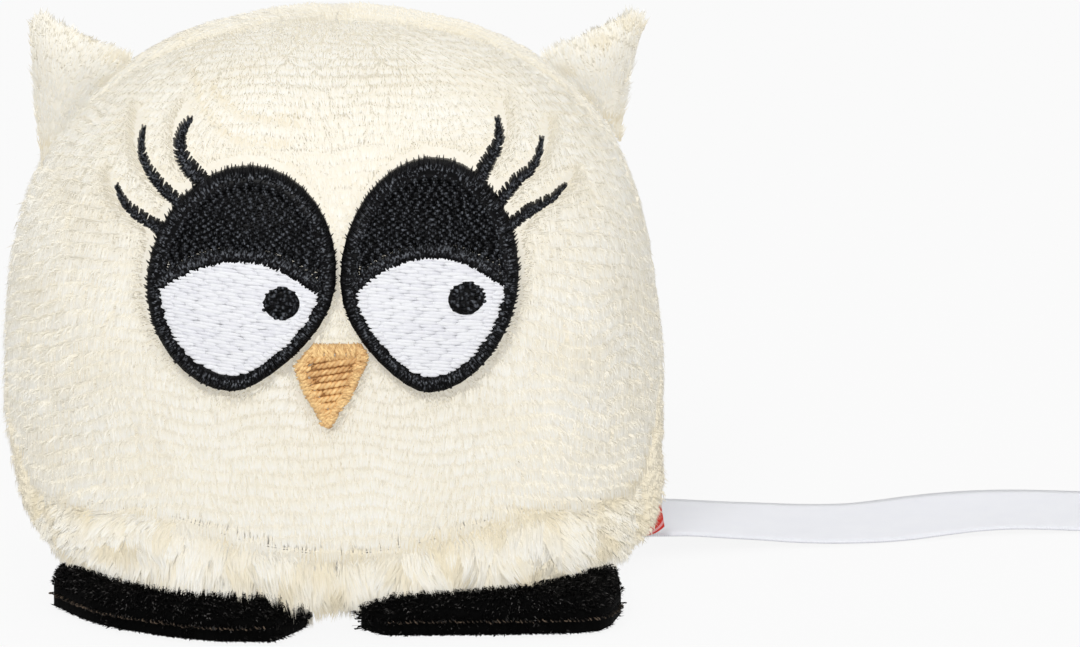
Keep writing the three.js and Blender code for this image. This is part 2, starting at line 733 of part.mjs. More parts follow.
function addRibbon() {
  const across = ribbonWidth / 2;
  const half = ribbonThickness / 2;
  const section = new THREE.Shape([
    [-half, -across], [0, -across], [half, -across], [half, 0],
    [half, across], [0, across], [-half, across], [-half, 0]
  ].map(([x, y]) => new THREE.Vector2(x, y)));
  const route = new THREE.CatmullRomCurve3(
    ribbonRoute.map((point) => new THREE.Vector3(...point)), false, 'centripetal');
  addPiece('ribbon', new THREE.ExtrudeGeometry(section,
    { steps: 32, bevelEnabled: false, extrudePath: route }), whiteSatin);
}

addStuffing();
addPanels();
for (const [name, side] of [['left', -1], ['right', 1]]) {
  addEar(name, ears[name]);
  addFoot(name, side);
  addEye(name, eyes[name]);
}
addBeak();
addClosingThread();
addLabel();
addRibbon();

// The origin lies on the ground under the middle of the owl, from its toes to its back
const toeShare = Math.max(...Object.values(footRimShares).flatMap(({ toe }) => toe.map(([, y]) => -y)));
owl.position.y = (toeShare * halfDepth - halfDepth) / 2;

export default owl;
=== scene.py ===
# A small stuffed owl of cream plush on two flat black feet, with an embroidered face, a cloth label and
# a satin ribbon. Shapes are worked out in millimetres from the middle of the ball's plan and become
# metres when a mesh is made. The owl faces -Y, and left is -X, as seen from the front.
import math
import bmesh
import bpy
import numpy as np
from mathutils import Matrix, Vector, kdtree


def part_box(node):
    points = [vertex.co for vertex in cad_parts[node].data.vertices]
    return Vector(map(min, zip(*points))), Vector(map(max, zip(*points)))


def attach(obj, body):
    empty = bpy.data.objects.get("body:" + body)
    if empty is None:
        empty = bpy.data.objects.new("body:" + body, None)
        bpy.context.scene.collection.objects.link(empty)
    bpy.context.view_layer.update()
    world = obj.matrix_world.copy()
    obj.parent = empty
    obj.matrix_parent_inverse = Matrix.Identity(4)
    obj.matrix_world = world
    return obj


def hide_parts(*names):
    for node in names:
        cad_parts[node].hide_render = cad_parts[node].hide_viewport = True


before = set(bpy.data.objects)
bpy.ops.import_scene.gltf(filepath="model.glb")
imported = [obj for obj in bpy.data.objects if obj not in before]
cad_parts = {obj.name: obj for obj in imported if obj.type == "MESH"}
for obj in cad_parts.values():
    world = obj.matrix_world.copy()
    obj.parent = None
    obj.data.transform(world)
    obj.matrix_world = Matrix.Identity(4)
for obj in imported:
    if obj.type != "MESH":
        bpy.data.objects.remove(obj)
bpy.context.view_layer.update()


# The room
# A plain white table top under soft studio light, seen from the front and a little from above, from
# far enough away that the owl hardly narrows towards its back. The table keeps the owl's shadow.
mm = 0.001
ball_back = sum(corner[1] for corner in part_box("stuffing")) / 2 / mm
photo_pixels, pixel_size = 1080, 0.106
picture_width = photo_pixels * pixel_size * mm
view_distance, view_elevation = 2.4, math.radians(14)
aim = Vector((21.4, ball_back, 25.84)) * mm
table_half, table_grey, table_glow = 3.0, 0.6, 0.9
light_on_owl, light_in_picture = 0.54, 1.0
lamps = (
    ("key", (-0.25, -0.85, 0.8), 0.3, 4.9),
    ("fill", (0.4, -1.0, 0.3), 0.6, 2.2),
    ("top", (0.1, 0.3, 1.2), 0.7, 2.7),
)


def new_material(name):
    made = bpy.data.materials.new(name)
    made.use_nodes = True
    return made, made.node_tree.nodes, made.node_tree.links


def calculate(nodes, links, operation, *values, clamp=False):
    """The result of a Math node on numbers and other nodes' outputs"""
    made = nodes.new("ShaderNodeMath")
    made.operation = operation
    made.use_clamp = clamp
    for socket, value in zip(made.inputs, values):
        if isinstance(value, (int, float)):
            socket.default_value = value
        else:
            links.new(value, socket)
    return made.outputs[0]


def seen_directly(nodes, links):
    """1 for the camera's own rays and for what metal and glass show, 0 for the light itself"""
    path = nodes.new("ShaderNodeLightPath")
    total = path.outputs["Is Camera Ray"]
    for other in ("Is Glossy Ray", "Is Transmission Ray"):
        total = calculate(nodes, links, "MAXIMUM", total, path.outputs[other])
    return total


def room():
    table = bpy.data.meshes.new("table_top")
    corners = [(x * table_half, y * table_half, 0) for x, y in ((-1, -1), (1, -1), (1, 1), (-1, 1))]
    table.from_pydata(corners, [], [(0, 1, 2, 3)])
    floor = bpy.data.objects.new("table_top", table)
    bpy.context.collection.objects.link(floor)
    white, nodes, links = new_material("white_table")
    shader = nodes["Principled BSDF"]
    shader.inputs["Base Color"].default_value = (table_grey, table_grey, table_grey, 1)
    shader.inputs["Roughness"].default_value = 0.9
    glow = nodes.new("ShaderNodeEmission")
    glow.inputs["Color"].default_value = (1, 1, 1, 1)
    share = calculate(nodes, links, "MULTIPLY", seen_directly(nodes, links), table_glow)
    mix = nodes.new("ShaderNodeMixShader")
    links.new(share, mix.inputs[0])
    links.new(shader.outputs[0], mix.inputs[1])
    links.new(glow.outputs[0], mix.inputs[2])
    links.new(mix.outputs[0], nodes["Material Output"].inputs["Surface"])
    table.materials.append(white)

    world = bpy.data.worlds.new("studio")
    bpy.context.scene.world = world
    world.use_nodes = True
    nodes, links = world.node_tree.nodes, world.node_tree.links
    soft = nodes["Background"]
    soft.inputs["Color"].default_value = (1, 1, 1, 1)
    level = nodes.new("ShaderNodeMapRange")
    level.inputs["To Min"].default_value = light_on_owl
    level.inputs["To Max"].default_value = light_in_picture
    links.new(seen_directly(nodes, links), level.inputs["Value"])
    links.new(level.outputs["Result"], soft.inputs["Strength"])

    for name, place, size, power in lamps:
        lamp = bpy.data.lights.new(name, "AREA")
        lamp.size = size
        lamp.energy = power
        light = bpy.data.objects.new(name, lamp)
        light.location = place
        light.rotation_euler = (aim - Vector(place)).to_track_quat("-Z", "Y").to_euler()
        bpy.context.collection.objects.link(light)

    lens = bpy.data.cameras.new("view")
    lens.sensor_width = 36
    lens.lens = lens.sensor_width * view_distance / picture_width
    lens.clip_start, lens.clip_end = 0.1, 20
    camera = bpy.data.objects.new("view", lens)
    away = Vector((0, -math.cos(view_elevation), math.sin(view_elevation)))
    camera.location = aim + away * view_distance
    camera.rotation_euler = (-away).to_track_quat("-Z", "Y").to_euler()
    bpy.context.collection.objects.link(camera)
    bpy.context.scene.camera = camera
    bpy.context.scene.view_settings.view_transform = "Standard"


room()


# The ribbon
# A white satin ribbon, sewn into the side seam behind the label. It drops to the table and lies along
# it in a slack curve. Woven flat, with a slightly thicker edge.
ribbon_width, ribbon_thickness = 16.0, 0.25
ribbon_route = np.array([
    (29.4, 8.2, 2.5), (31.2, 8.5, 2.47), (33.8, 9, 2.33), (37, 10, 1.95), (41, 11.1, 1.45),
    (45, 12.1, 0.98), (49, 12.8, 0.62), (53, 13.5, 0.4), (57, 14.5, 0.3), (61, 15.8, 0.3),
    (66, 17.3, 0.3), (71, 18.3, 0.3), (76, 18.8, 0.3), (82, 18.9, 0.3), (89, 18.4, 0.3),
    (97, 17.4, 0.3), (105, 16.4, 0.3), (113, 15.7, 0.3), (121, 15.4, 0.3), (129, 15.6, 0.3),
    (137, 16.2, 0.3),
])


def run_along(points):
    """The length of a line up to each of its points"""
    return np.concatenate([[0], np.cumsum(np.linalg.norm(np.diff(points, axis=0), axis=1))])


def points_at(line, places, wanted):
    """The points of a line where its places reach the wanted values"""
    return np.column_stack([np.interp(wanted, places, values) for values in line.T])


def smooth_route(points, steps):
    """Points spread evenly along a smooth curve through the given ones"""
    padded = np.vstack([2 * points[0] - points[1], points, 2 * points[-1] - points[-2]])
    t = np.linspace(0, 1, 12, endpoint=False)[:, None]
    dense = []
    for a, b, c, d in zip(padded, padded[1:], padded[2:], padded[3:]):
        dense.append(0.5 * (2 * b + (c - a) * t + (2 * a - 5 * b + 4 * c - d) * t ** 2
                            + (3 * b - a - 3 * c + d) * t ** 3))
    dense = np.vstack(dense + [points[-1:]])
    run = run_along(dense)
    return points_at(dense, run, np.linspace(0, run[-1], steps)), run[-1]


def to_metres(points):
    return (np.asarray(points) + (0, ball_back, 0)) * mm


def make_piece(name, points, faces, finish, body, nodes, uv=None, smooth=True):
    """A piece from points in millimetres and faces that all have the same number of corners"""
    points, faces = np.asarray(points, dtype=float), np.asarray(faces, dtype=np.int32)
    mesh = bpy.data.meshes.new(name)
    mesh.vertices.add(len(points))
    mesh.vertices.foreach_set("co", to_metres(points).ravel())
    mesh.loops.add(faces.size)
    mesh.loops.foreach_set("vertex_index", faces.ravel())
    mesh.polygons.add(len(faces))
    mesh.polygons.foreach_set("loop_start", np.arange(0, faces.size, faces.shape[1]))
    mesh.update(calc_edges=True)
    mesh.polygons.foreach_set("use_smooth", np.full(len(faces), smooth))
    if uv is not None:
        mesh.uv_layers.new(name="OFBake").data.foreach_set("uv", uv[faces.ravel()].ravel())
    mesh.materials.append(finish)
    piece = bpy.data.objects.new(name, mesh)
    bpy.context.collection.objects.link(piece)
    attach(piece, body)
    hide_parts(*nodes)
    return piece


def unit(vectors):
    return vectors / np.maximum(np.linalg.norm(vectors, axis=-1, keepdims=True), 1e-9)


def new_group(name, inputs, outputs):
    """A node group whose named sockets are of the kinds Vector, Color and Float"""
    group = bpy.data.node_groups.new(name, "ShaderNodeTree")
    for way, sockets in (("INPUT", inputs), ("OUTPUT", outputs)):
        for label, kind in sockets.items():
            group.interface.new_socket(label, in_out=way, socket_type=f"NodeSocket{kind}")
    given = group.nodes.new("NodeGroupInput").outputs
    return group, group.nodes, group.links, given, group.nodes.new("NodeGroupOutput").inputs


def woven_group():
    """Over and under threads of a plain weave, from coordinates in millimetres"""
    group, nodes, links, given, out = new_group(
        "woven_cloth", {"Vector": "Vector", "Warp": "Float", "Weft": "Float", "Wear": "Float"},
        {"Height": "Float", "Fade": "Float"})
    parts = nodes.new("ShaderNodeSeparateXYZ")
    links.new(given["Vector"], parts.inputs[0])
    waves = []
    for axis, pitch in (("X", "Warp"), ("Y", "Weft")):
        turns = calculate(nodes, links, "DIVIDE", parts.outputs[axis], given[pitch])
        angle = calculate(nodes, links, "MULTIPLY", turns, 2 * math.pi)
        waves.append(calculate(nodes, links, "SINE", angle))
    cross = calculate(nodes, links, "MULTIPLY", *waves)
    links.new(cross, out["Height"])
    noise = nodes.new("ShaderNodeTexNoise")
    noise.inputs["Scale"].default_value = 0.35
    noise.inputs["Detail"].default_value = 4
    links.new(given["Vector"], noise.inputs["Vector"])
    worn = calculate(nodes, links, "MULTIPLY_ADD", cross, given["Wear"], noise.outputs["Fac"])
    links.new(worn, out["Fade"])
    return group


woven = woven_group()


def in_millimetres(nodes, links):
    scaled = nodes.new("ShaderNodeVectorMath")
    scaled.operation = "SCALE"
    scaled.inputs["Scale"].default_value = 1 / mm
    links.new(nodes.new("ShaderNodeTexCoord").outputs["Object"], scaled.inputs[0])
    return scaled.outputs[0]


def group_node(nodes, tree, **values):
    """A node of a group with values in its sockets, where a tuple is a colour"""
    made = nodes.new("ShaderNodeGroup")
    made.node_tree = tree
    for name, value in values.items():
        made.inputs[name].default_value = (*value, 1) if isinstance(value, tuple) else value
    return made


def colour_between(nodes, links, share, first, second):
    """A mix of two colours, each a tuple or another node's output"""
    mix = nodes.new("ShaderNodeMix")
    mix.data_type = "RGBA"
    links.new(share, mix.inputs["Factor"])
    for socket, colour in (("A", first), ("B", second)):
        if isinstance(colour, tuple):
            mix.inputs[socket].default_value = (*colour, 1)
        else:
            links.new(colour, mix.inputs[socket])
    return mix.outputs["Result"]


def raise_surface(nodes, links, height, distance):
    bump = nodes.new("ShaderNodeBump")
    bump.inputs["Distance"].default_value = distance * mm
    bump.inputs["Strength"].default_value = 1.0
    links.new(height, bump.inputs["Height"])
    links.new(bump.outputs["Normal"], nodes["Principled BSDF"].inputs["Normal"])


def woven_finish(name, dark, light, warp, weft, roughness, relief, sheen=0.0):
    made, nodes, links = new_material(name)
    shader = nodes["Principled BSDF"]
    weave = group_node(nodes, woven, Warp=warp, Weft=weft, Wear=0.25)
    links.new(in_millimetres(nodes, links), weave.inputs["Vector"])
    colour = colour_between(nodes, links, weave.outputs["Fade"], dark, light)
    links.new(colour, shader.inputs["Base Color"])
    raise_surface(nodes, links, weave.outputs["Height"], relief)
    shader.inputs["Roughness"].default_value = roughness
    shader.inputs["Sheen Weight"].default_value = sheen
    return made


def lay_ribbon():
    steps, columns = 150, 14
    centres, length = smooth_route(ribbon_route, steps)
    run = unit(np.gradient(centres, axis=0))
    across = unit(np.cross(run, (0, 0, 1)))
    over = unit(np.cross(across, run))
    share = np.linspace(-1, 1, columns)
    along = np.linspace(0, length, steps)
    lies = np.clip((along - 22) / 12, 0, 1)[:, None]
    swell = 0.22 * (1 - np.cos(along * 0.21 + 0.8))[:, None]
    ripple = lies * swell * (0.25 + 0.75 * np.abs(share)) ** 2
    cup = 0.05 * share ** 8
    rise = ripple + cup
    middle = centres[:, None] + across[:, None] * (share * ribbon_width / 2)[None, :, None]
    half = ribbon_thickness / 2
    top = middle + over[:, None] * (rise + half)[..., None]
    bottom = middle + over[:, None] * (ripple - half)[..., None]
    ring = np.concatenate([top, bottom[:, ::-1]], axis=1)
    sides = ring.shape[1]
    points = ring.reshape(-1, 3)
    row, column = np.meshgrid(np.arange(steps - 1), np.arange(sides), indexing="ij")
    a = row * sides + column
    b = row * sides + (column + 1) % sides
    faces = np.stack([a, a + sides, b + sides, b], axis=-1).reshape(-1, 4)
    rim = np.arange(columns - 1)
    start = np.stack([rim, rim + 1, sides - 2 - rim, sides - 1 - rim], axis=-1)
    end = start[:, ::-1] + (steps - 1) * sides
    satin = woven_finish("white_satin_ribbon", (0.86, 0.87, 0.93), (0.92, 0.93, 0.97), 0.3, 0.22, 0.36,
                         0.02, sheen=0.3)
    piece = make_piece("ribbon_satin", points, np.vstack([faces, start, end]), satin, "body",
                       ["ribbon"])


lay_ribbon()


# The filling
# Loose white polyester fibre, blown into the sewn ball, and a thin sheet of it in each foot. It is
# felted together like cotton wool.
def fibre_finish():
    made, nodes, links = new_material("white_fibre_filling")
    shader = nodes["Principled BSDF"]
    noise = nodes.new("ShaderNodeTexNoise")
    noise.inputs["Scale"].default_value = 0.8
    noise.inputs["Detail"].default_value = 8
    noise.inputs["Distortion"].default_value = 2.5
    links.new(in_millimetres(nodes, links), noise.inputs["Vector"])
    colour = colour_between(nodes, links, noise.outputs["Fac"], (0.78, 0.78, 0.77), (0.95, 0.95, 0.94))
    links.new(colour, shader.inputs["Base Color"])
    raise_surface(nodes, links, noise.outputs["Fac"], 0.6)
    shader.inputs["Roughness"].default_value = 1
    return made


fibre = fibre_finish()


def node_points(name):
    """A CAD node's corners in millimetres, and its triangles"""
    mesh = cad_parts[name].data
    points = np.empty(len(mesh.vertices) * 3)
    mesh.vertices.foreach_get("co", points)
    mesh.calc_loop_triangles()
    triangles = np.empty(len(mesh.loop_triangles) * 3, dtype=np.int32)
    mesh.loop_triangles.foreach_get("vertices", triangles)
    return points.reshape(-1, 3) / mm - (0, ball_back, 0), triangles.reshape(-1, 3)


def refined(name, cuts=1):
    """A CAD node's closed solid with each face cut up, in millimetres"""
    solid = bmesh.new()
    solid.from_mesh(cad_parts[name].data)
    bmesh.ops.remove_doubles(solid, verts=solid.verts, dist=0.001 * mm)
    for _ in range(cuts):
        bmesh.ops.subdivide_edges(solid, edges=solid.edges, cuts=1, use_grid_fill=True)
    bmesh.ops.triangulate(solid, faces=solid.faces)
    points = np.array([vertex.co for vertex in solid.verts]) / mm - (0, ball_back, 0)
    faces = np.array([[vertex.index for vertex in face.verts] for face in solid.faces])
    solid.free()
    return points, faces


def drift(points, size, seed):
    """Smooth noise of about -1 to 1, with swells about as wide as size"""
    rng = np.random.default_rng(seed)
    waves = unit(rng.normal(size=(7, 3))) * rng.uniform(0.7, 1.5, (7, 1)) * math.pi / size
    return np.sin(points @ waves.T + rng.uniform(0, 2 * math.pi, 7)).sum(axis=1) / 2.6


def add_filling(node, body, seed, swell):
    points, faces = refined(node)
    middle = points.mean(axis=0)
    points = points + unit(points - middle) * (drift(points, 4, seed) - 1)[:, None] * swell
    piece = make_piece(f"{node}_fibre", points, faces, fibre, body, [node])


add_filling("stuffing", "body", 11, 0.15)
add_filling("foot_left_wadding", "foot_left", 12, 0.05)
add_filling("foot_right_wadding", "foot_right", 13, 0.05)


# The plush of the ball
# Six sewn panels of cream short-pile plush. The knitted ground carries soft pile that lies in rows
# across the face, strokes downwards, parts at the seams and hangs longer under the chin.
half_width, half_depth = 34.2, 32.5
crown_rise, base_drop, waist = 38.2, 21.5, 21.0
plan_power, crown_power, base_power = 2.5, 2.55, 4.6
skin_depth, cloth_depth, root_depth = 1.1, 1.0, 1.2
row_pitch, row_slant = 1.4, 0.3
pile_length, strand_width = 1.5, (0.12, 0.2)
strands_per_piece = 33000


def power_sum(a, b, power):
    return (np.abs(a) ** power + np.abs(b) ** power) ** (1 / power)


def ball_point(direction, depth=0.0):
    """Points of the ball in directions given in shares of its half sizes, so far under its surface"""
    x, y, z = direction.T
    above = z > 0
    plan = power_sum(x, y, plan_power)
    reach = np.where(above, power_sum(plan, z, crown_power), power_sum(plan, z, base_power)) ** -1
    rise = np.where(above, crown_rise, base_drop)
    height = np.maximum(waist + z * reach * (rise - depth), np.maximum(depth, 0))
    return np.column_stack([x * reach * (half_width - depth), y * reach * (half_depth - depth), height])


def ball_direction(points):
    x, y, z = points.T
    rise = np.where(z > waist, crown_rise, base_drop)
    return np.column_stack([x / half_width, y / half_depth, (z - waist) / rise])


def ball_normal(points):
    x, y, z = ball_direction(points).T
    above = z > 0
    power = np.where(above, crown_power, base_power)
    rise = np.where(above, crown_rise, base_drop)
    plan = np.maximum(power_sum(x, y, plan_power), 1e-6) ** (power - plan_power)

    def slope(share, size, grade):
        return np.sign(share) * np.abs(share) ** (grade - 1) / size

    return unit(np.column_stack([
        slope(x, half_width, plan_power) * plan, slope(y, half_depth, plan_power) * plan,
        slope(z, rise, power)]))


def along_strand(nodes, links, stretched):
    """A strand's own coordinates, and a fine noise stretched along it"""
    place = nodes.new("ShaderNodeUVMap")
    place.uv_map = "OFBake"
    parts = nodes.new("ShaderNodeSeparateXYZ")
    links.new(place.outputs[0], parts.inputs[0])
    stretch = nodes.new("ShaderNodeVectorMath")
    stretch.operation = "MULTIPLY"
    stretch.inputs[1].default_value = stretched
    links.new(place.outputs[0], stretch.inputs[0])
    noise = nodes.new("ShaderNodeTexNoise")
    noise.inputs["Scale"].default_value = 1
    links.new(stretch.outputs[0], noise.inputs["Vector"])
    return parts.outputs["X"], parts.outputs["Y"], noise.outputs["Fac"]


def pile_group():
    """A strand's colour: root to tip by V, place in the row by U, with painted shade at roots and in
    valleys
    """
    group, nodes, links, given, out = new_group(
        "pile_colour", {"Valley": "Color", "Root": "Color", "Tip": "Color", "Grain": "Float"},
        {"Color": "Color"})
    in_row, from_root, noise = along_strand(nodes, links, (90, 2.5, 1))
    share = calculate(nodes, links, "MULTIPLY_ADD", noise, given["Grain"], from_root)
    strand = colour_between(nodes, links, share, given["Root"], given["Tip"])
    row = colour_between(nodes, links, in_row, given["Valley"], strand)
    links.new(row, out["Color"])
    return group


pile_colour = pile_group()


def pile_finish(name, valley, root, tip, grain=0.15, roughness=0.85, gloss=0.4):
    made, nodes, links = new_material(name)
    shader = nodes["Principled BSDF"]
    colour = group_node(nodes, pile_colour, Valley=valley, Root=root, Tip=tip, Grain=grain)
    links.new(colour.outputs["Color"], shader.inputs["Base Color"])
    shader.inputs["Roughness"].default_value = roughness
    shader.inputs["Specular IOR Level"].default_value = gloss
    return made


def ground_finish(name, dark, light):
    """The dull knitted ground that the pile grows from"""
    made = woven_finish(name, dark, light, 0.9, 0.7, 0.95, 0.01)
    made.node_tree.nodes["Principled BSDF"].inputs["Specular IOR Level"].default_value = 0.05
    return made


# The cream pile's valley and root colours, darker and warmer than its tips, are painted shade.
cream_pile = pile_finish("cream_plush_pile", (0.84, 0.75, 0.56), (0.89, 0.815, 0.64),
                         (0.95, 0.94, 0.895), gloss=0.1)
cream_ground = ground_finish("cream_plush_ground", (0.88, 0.82, 0.69), (0.92, 0.88, 0.78))


def scatter(corners, per_square, rng):
    """Random points over triangles, and the triangle that each lies on"""
    a, b, c = corners[:, 0], corners[:, 1], corners[:, 2]
    areas = np.linalg.norm(np.cross(b - a, c - a), axis=1) / 2
    count = int(areas.sum() * per_square)
    pick = rng.choice(len(areas), count, p=areas / areas.sum())
    s, t = np.sqrt(rng.random(count))[:, None], rng.random(count)[:, None]
    return (1 - s) * a[pick] + s * (1 - t) * b[pick] + s * t * c[pick], pick


def tangential(vectors, normals):
    return vectors - normals * np.sum(vectors * normals, axis=1, keepdims=True)


def nearest(points, targets):
    """Each point's nearest target and how far it is"""
    tree = kdtree.KDTree(len(targets))
    for index, target in enumerate(targets):
        tree.insert(target, index)
    tree.balance()
    found = [tree.find(point)[1:] for point in points]
    return np.array([index for index, _ in found]), np.array([distance for _, distance in found])


def fade(values, start, end):
    """0 at start, 1 at end, smooth between"""
    share = np.clip((values - start) / (end - start), 0, 1)
    return share * share * (3 - 2 * share)


def grow_pile(name, roots, normals, leans, heights, widths, tones, finish, body, slot, nodes, seed,
              shadow=False, standing=0.16):
    """Three-sided strands that rise from their roots, bend over and taper to a point. Light soaks
    through the pale ones, so they cast no shadow on each other."""
    rng = np.random.default_rng(seed)
    upright = rng.random(len(roots)) < standing
    leans = leans * np.where(upright, 0.55, 1.0)[:, None]
    heights = heights * np.where(upright, 1.18, 1.0)
    tips = roots + normals * heights[:, None] + leans
    bends = roots + normals * (heights * np.where(upright, 0.7, 0.93))[:, None] + leans * 0.3
    tips[:, 2] = np.maximum(tips[:, 2], 0.06)
    bends[:, 2] = np.maximum(bends[:, 2], 0.1)
    run = unit(tips - roots)
    flat = unit(np.cross(run, normals + rng.normal(0, 0.2, normals.shape)))
    half = (widths / 2)[:, None] * flat
    inner = bends - np.cross(flat, run) * (widths * 0.2)[:, None]
    points = np.stack([roots, bends - half, bends + half, inner, tips], axis=1)
    faces = np.array([(0, 2, 1), (1, 2, 4), (0, 3, 2), (0, 1, 3), (2, 3, 4), (3, 1, 4)])
    tones = np.clip(tones, 0.01, 0.99)
    uv = np.array([(0, 0), (-1, 0.3), (1, 0.3), (0, 0.2), (0, 1)])
    for part, start in enumerate(range(0, len(roots), strands_per_piece)):
        stop = min(start + strands_per_piece, len(roots))
        count = stop - start
        indices = (faces[None] + 5 * np.arange(count)[:, None, None]).reshape(-1, 3)
        spread = np.empty((count, 5, 2))
        spread[..., 0] = tones[start:stop, None] + uv[:, 0] * 0.002
        spread[..., 1] = uv[:, 1] * 0.98 + 0.01
        corners = points[start:stop].reshape(-1, 3)
        piece = make_piece(f"{name}_{part + 1}", corners, indices, finish, body, nodes,
                           uv=spread.reshape(-1, 2), smooth=False)
        piece.visible_shadow = piece.visible_diffuse = shadow


def outer_faces(name):
    """The corners of a panel's outer faces"""
    points, triangles = node_points(name)
    depth = np.linalg.norm(points - ball_point(ball_direction(points)), axis=1)
    return points[triangles[(depth[triangles] < skin_depth).all(axis=1)]]


def rim_points(corners, step=0.4):
    """Points along the edges that only one of the faces has"""
    seen = {}
    for a, b, c in np.round(corners, 3):
        for start, end in ((a, b), (b, c), (c, a)):
            key = frozenset((tuple(start), tuple(end)))
            seen[key] = None if key in seen else (start, end)
    rims = [pair for pair in seen.values() if pair is not None]
    points = []
    for start, end in rims:
        count = max(int(np.linalg.norm(end - start) / step), 1)
        points += [start + (end - start) * share for share in np.linspace(0, 1, count, endpoint=False)]
    return np.array(points)


def row_heights(facing):
    """How far up the middle of the ball's front or back the planes of the rows lie"""
    angle = np.radians(np.linspace(-78, 90, 300))
    points = ball_point(np.column_stack([np.zeros(300), facing * np.cos(angle), np.sin(angle)]))
    level = points[:, 2] - facing * row_slant * points[:, 1]
    return np.maximum.accumulate(level), run_along(points)


embroidered = [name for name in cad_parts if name.startswith(("eye_", "beak_"))]


def embroidery_points():
    """Points over all the embroidery, in the front view"""
    rng = np.random.default_rng(5)
    found = []
    for name in embroidered:
        points, triangles = node_points(name)
        found.append(scatter(points[triangles], 50, rng)[0])
    found = np.vstack(found)
    found[:, 1] = 0
    return found


def panel_ground(node):
    """The knitted cloth of a panel, a closed sheet under the pile"""
    points, faces = refined(node)
    direction = ball_direction(points)
    depth = np.linalg.norm(points - ball_point(direction), axis=1)
    outer = depth < skin_depth
    edge = np.flatnonzero(outer & (nearest(points, rim_points(outer_faces(node)))[1] < 0.25))
    widened = points.copy()
    for index in edge:
        near = points[outer & (np.linalg.norm(points - points[index], axis=1) < 4)]
        widened[index] += unit(points[index] - near.mean(axis=0)) * 0.35
    points = np.where(outer[:, None], ball_point(ball_direction(widened), cloth_depth), points)
    piece = make_piece(f"{node}_ground", points, faces, cream_ground, "body", [node])
    piece.visible_shadow = piece.visible_diffuse = False


# Where the plush creases round the left eye and under the left ear, in the front view, with painted
# shade
crease_routes = [
    [(-14.5, 0, 55.2), (-13.2, 0, 53.0), (-10.0, 0, 51.0), (-5.2, 0, 50.6)],
    [(-12.6, 0, 54.6), (-9.0, 0, 52.9), (-4.0, 0, 52.6)],
    [(-27.6, 0, 46.7), (-29.8, 0, 45.4), (-32.0, 0, 44.0)],
]


def lower_right(points):
    """1 over the right foot, where the pile lies close, 0 elsewhere"""
    return fade(points[:, 0], 18, 26) * fade(-points[:, 2], -3, 1)


def length_by_place(points):
    """How the pile's length differs from place to place, as the owl's outline shows"""
    x, _, z = points.T
    crown = fade(z, 46, 54)
    left_side = fade(-x, 18, 33) * fade(z, 9, 20) * (1 - crown)
    right_side = fade(x, 20, 32) * fade(z, 22, 32)
    by_label = fade(x, 24, 30) * fade(z, 0.5, 3) * fade(-z, -13, -8)
    between_ears = crown * (0.22 + 0.25 * fade(np.abs(x), 4, 10))
    return ((1 + 0.6 * left_side) * (1 - 0.35 * right_side) * (1 - 0.5 * lower_right(points))
            * (1 + 0.7 * by_label) * (1 - between_ears))


def hang_of_chin(points, tufts, hang, rng, seed):
    """How the strands over the feet hang: outwards at the sides, and forwards over the left foot"""
    x, _, z = points.T
    sideways = np.where(x < 0, -0.35, 0.2) * fade(np.abs(x), 10, 30)
    drop = np.column_stack([sideways + 0.35 * drift(tufts, 3, seed + 9), np.full(len(x), -0.25),
                            np.full(len(x), -1.0)])
    amount = hang * rng.uniform(0.6, 1.15, len(x)) * (1 + 0.25 * drift(tufts, 2, seed + 6))
    amount = amount * (1 - 0.6 * fade(np.abs(x), 19, 29)) * (1 - 0.6 * lower_right(points))
    over_foot = fade(-x, 1, 5) * fade(x, -22, -15) * fade(-z, -9, -5)
    forward = over_foot * rng.uniform(0.6, 1.1, len(x))
    return drop * amount[:, None] + forward[:, None] * (0, -3.4, -0.5)


def part_round_embroidery(roots, normals, lean, tones, rng):
    """Lean the face's strands off its embroidery, paint shade into its creases, and tell which strands
    stay
    """
    face = (roots[:, 1] < -8) & (roots[:, 2] > 21)
    flat_roots = roots[face] * (1, 0, 1)
    targets = embroidery_points()
    index, gap = nearest(flat_roots, targets)
    close = fade(-gap, -1.3, -0.2)[:, None]
    away = tangential(unit(flat_roots - targets[index]), normals[face])
    lean[face] = lean[face] * (1 - 0.75 * close) - away * close * 0.6
    creases = np.vstack([smooth_route(np.array(route), 60)[0] for route in crease_routes])
    # The pile along the creases is darkened: painted shade.
    crease = fade(-nearest(flat_roots, creases)[1], -0.7, -0.1)
    tones[face] = tones[face] - crease * rng.uniform(0.3, 0.8, len(crease))
    tones[face] = tones[face] * (1 - close[:, 0]) + 0.5 * close[:, 0]
    keep = np.ones(len(roots), dtype=bool)
    keep[np.flatnonzero(face)[gap < 0.25]] = False
    return keep


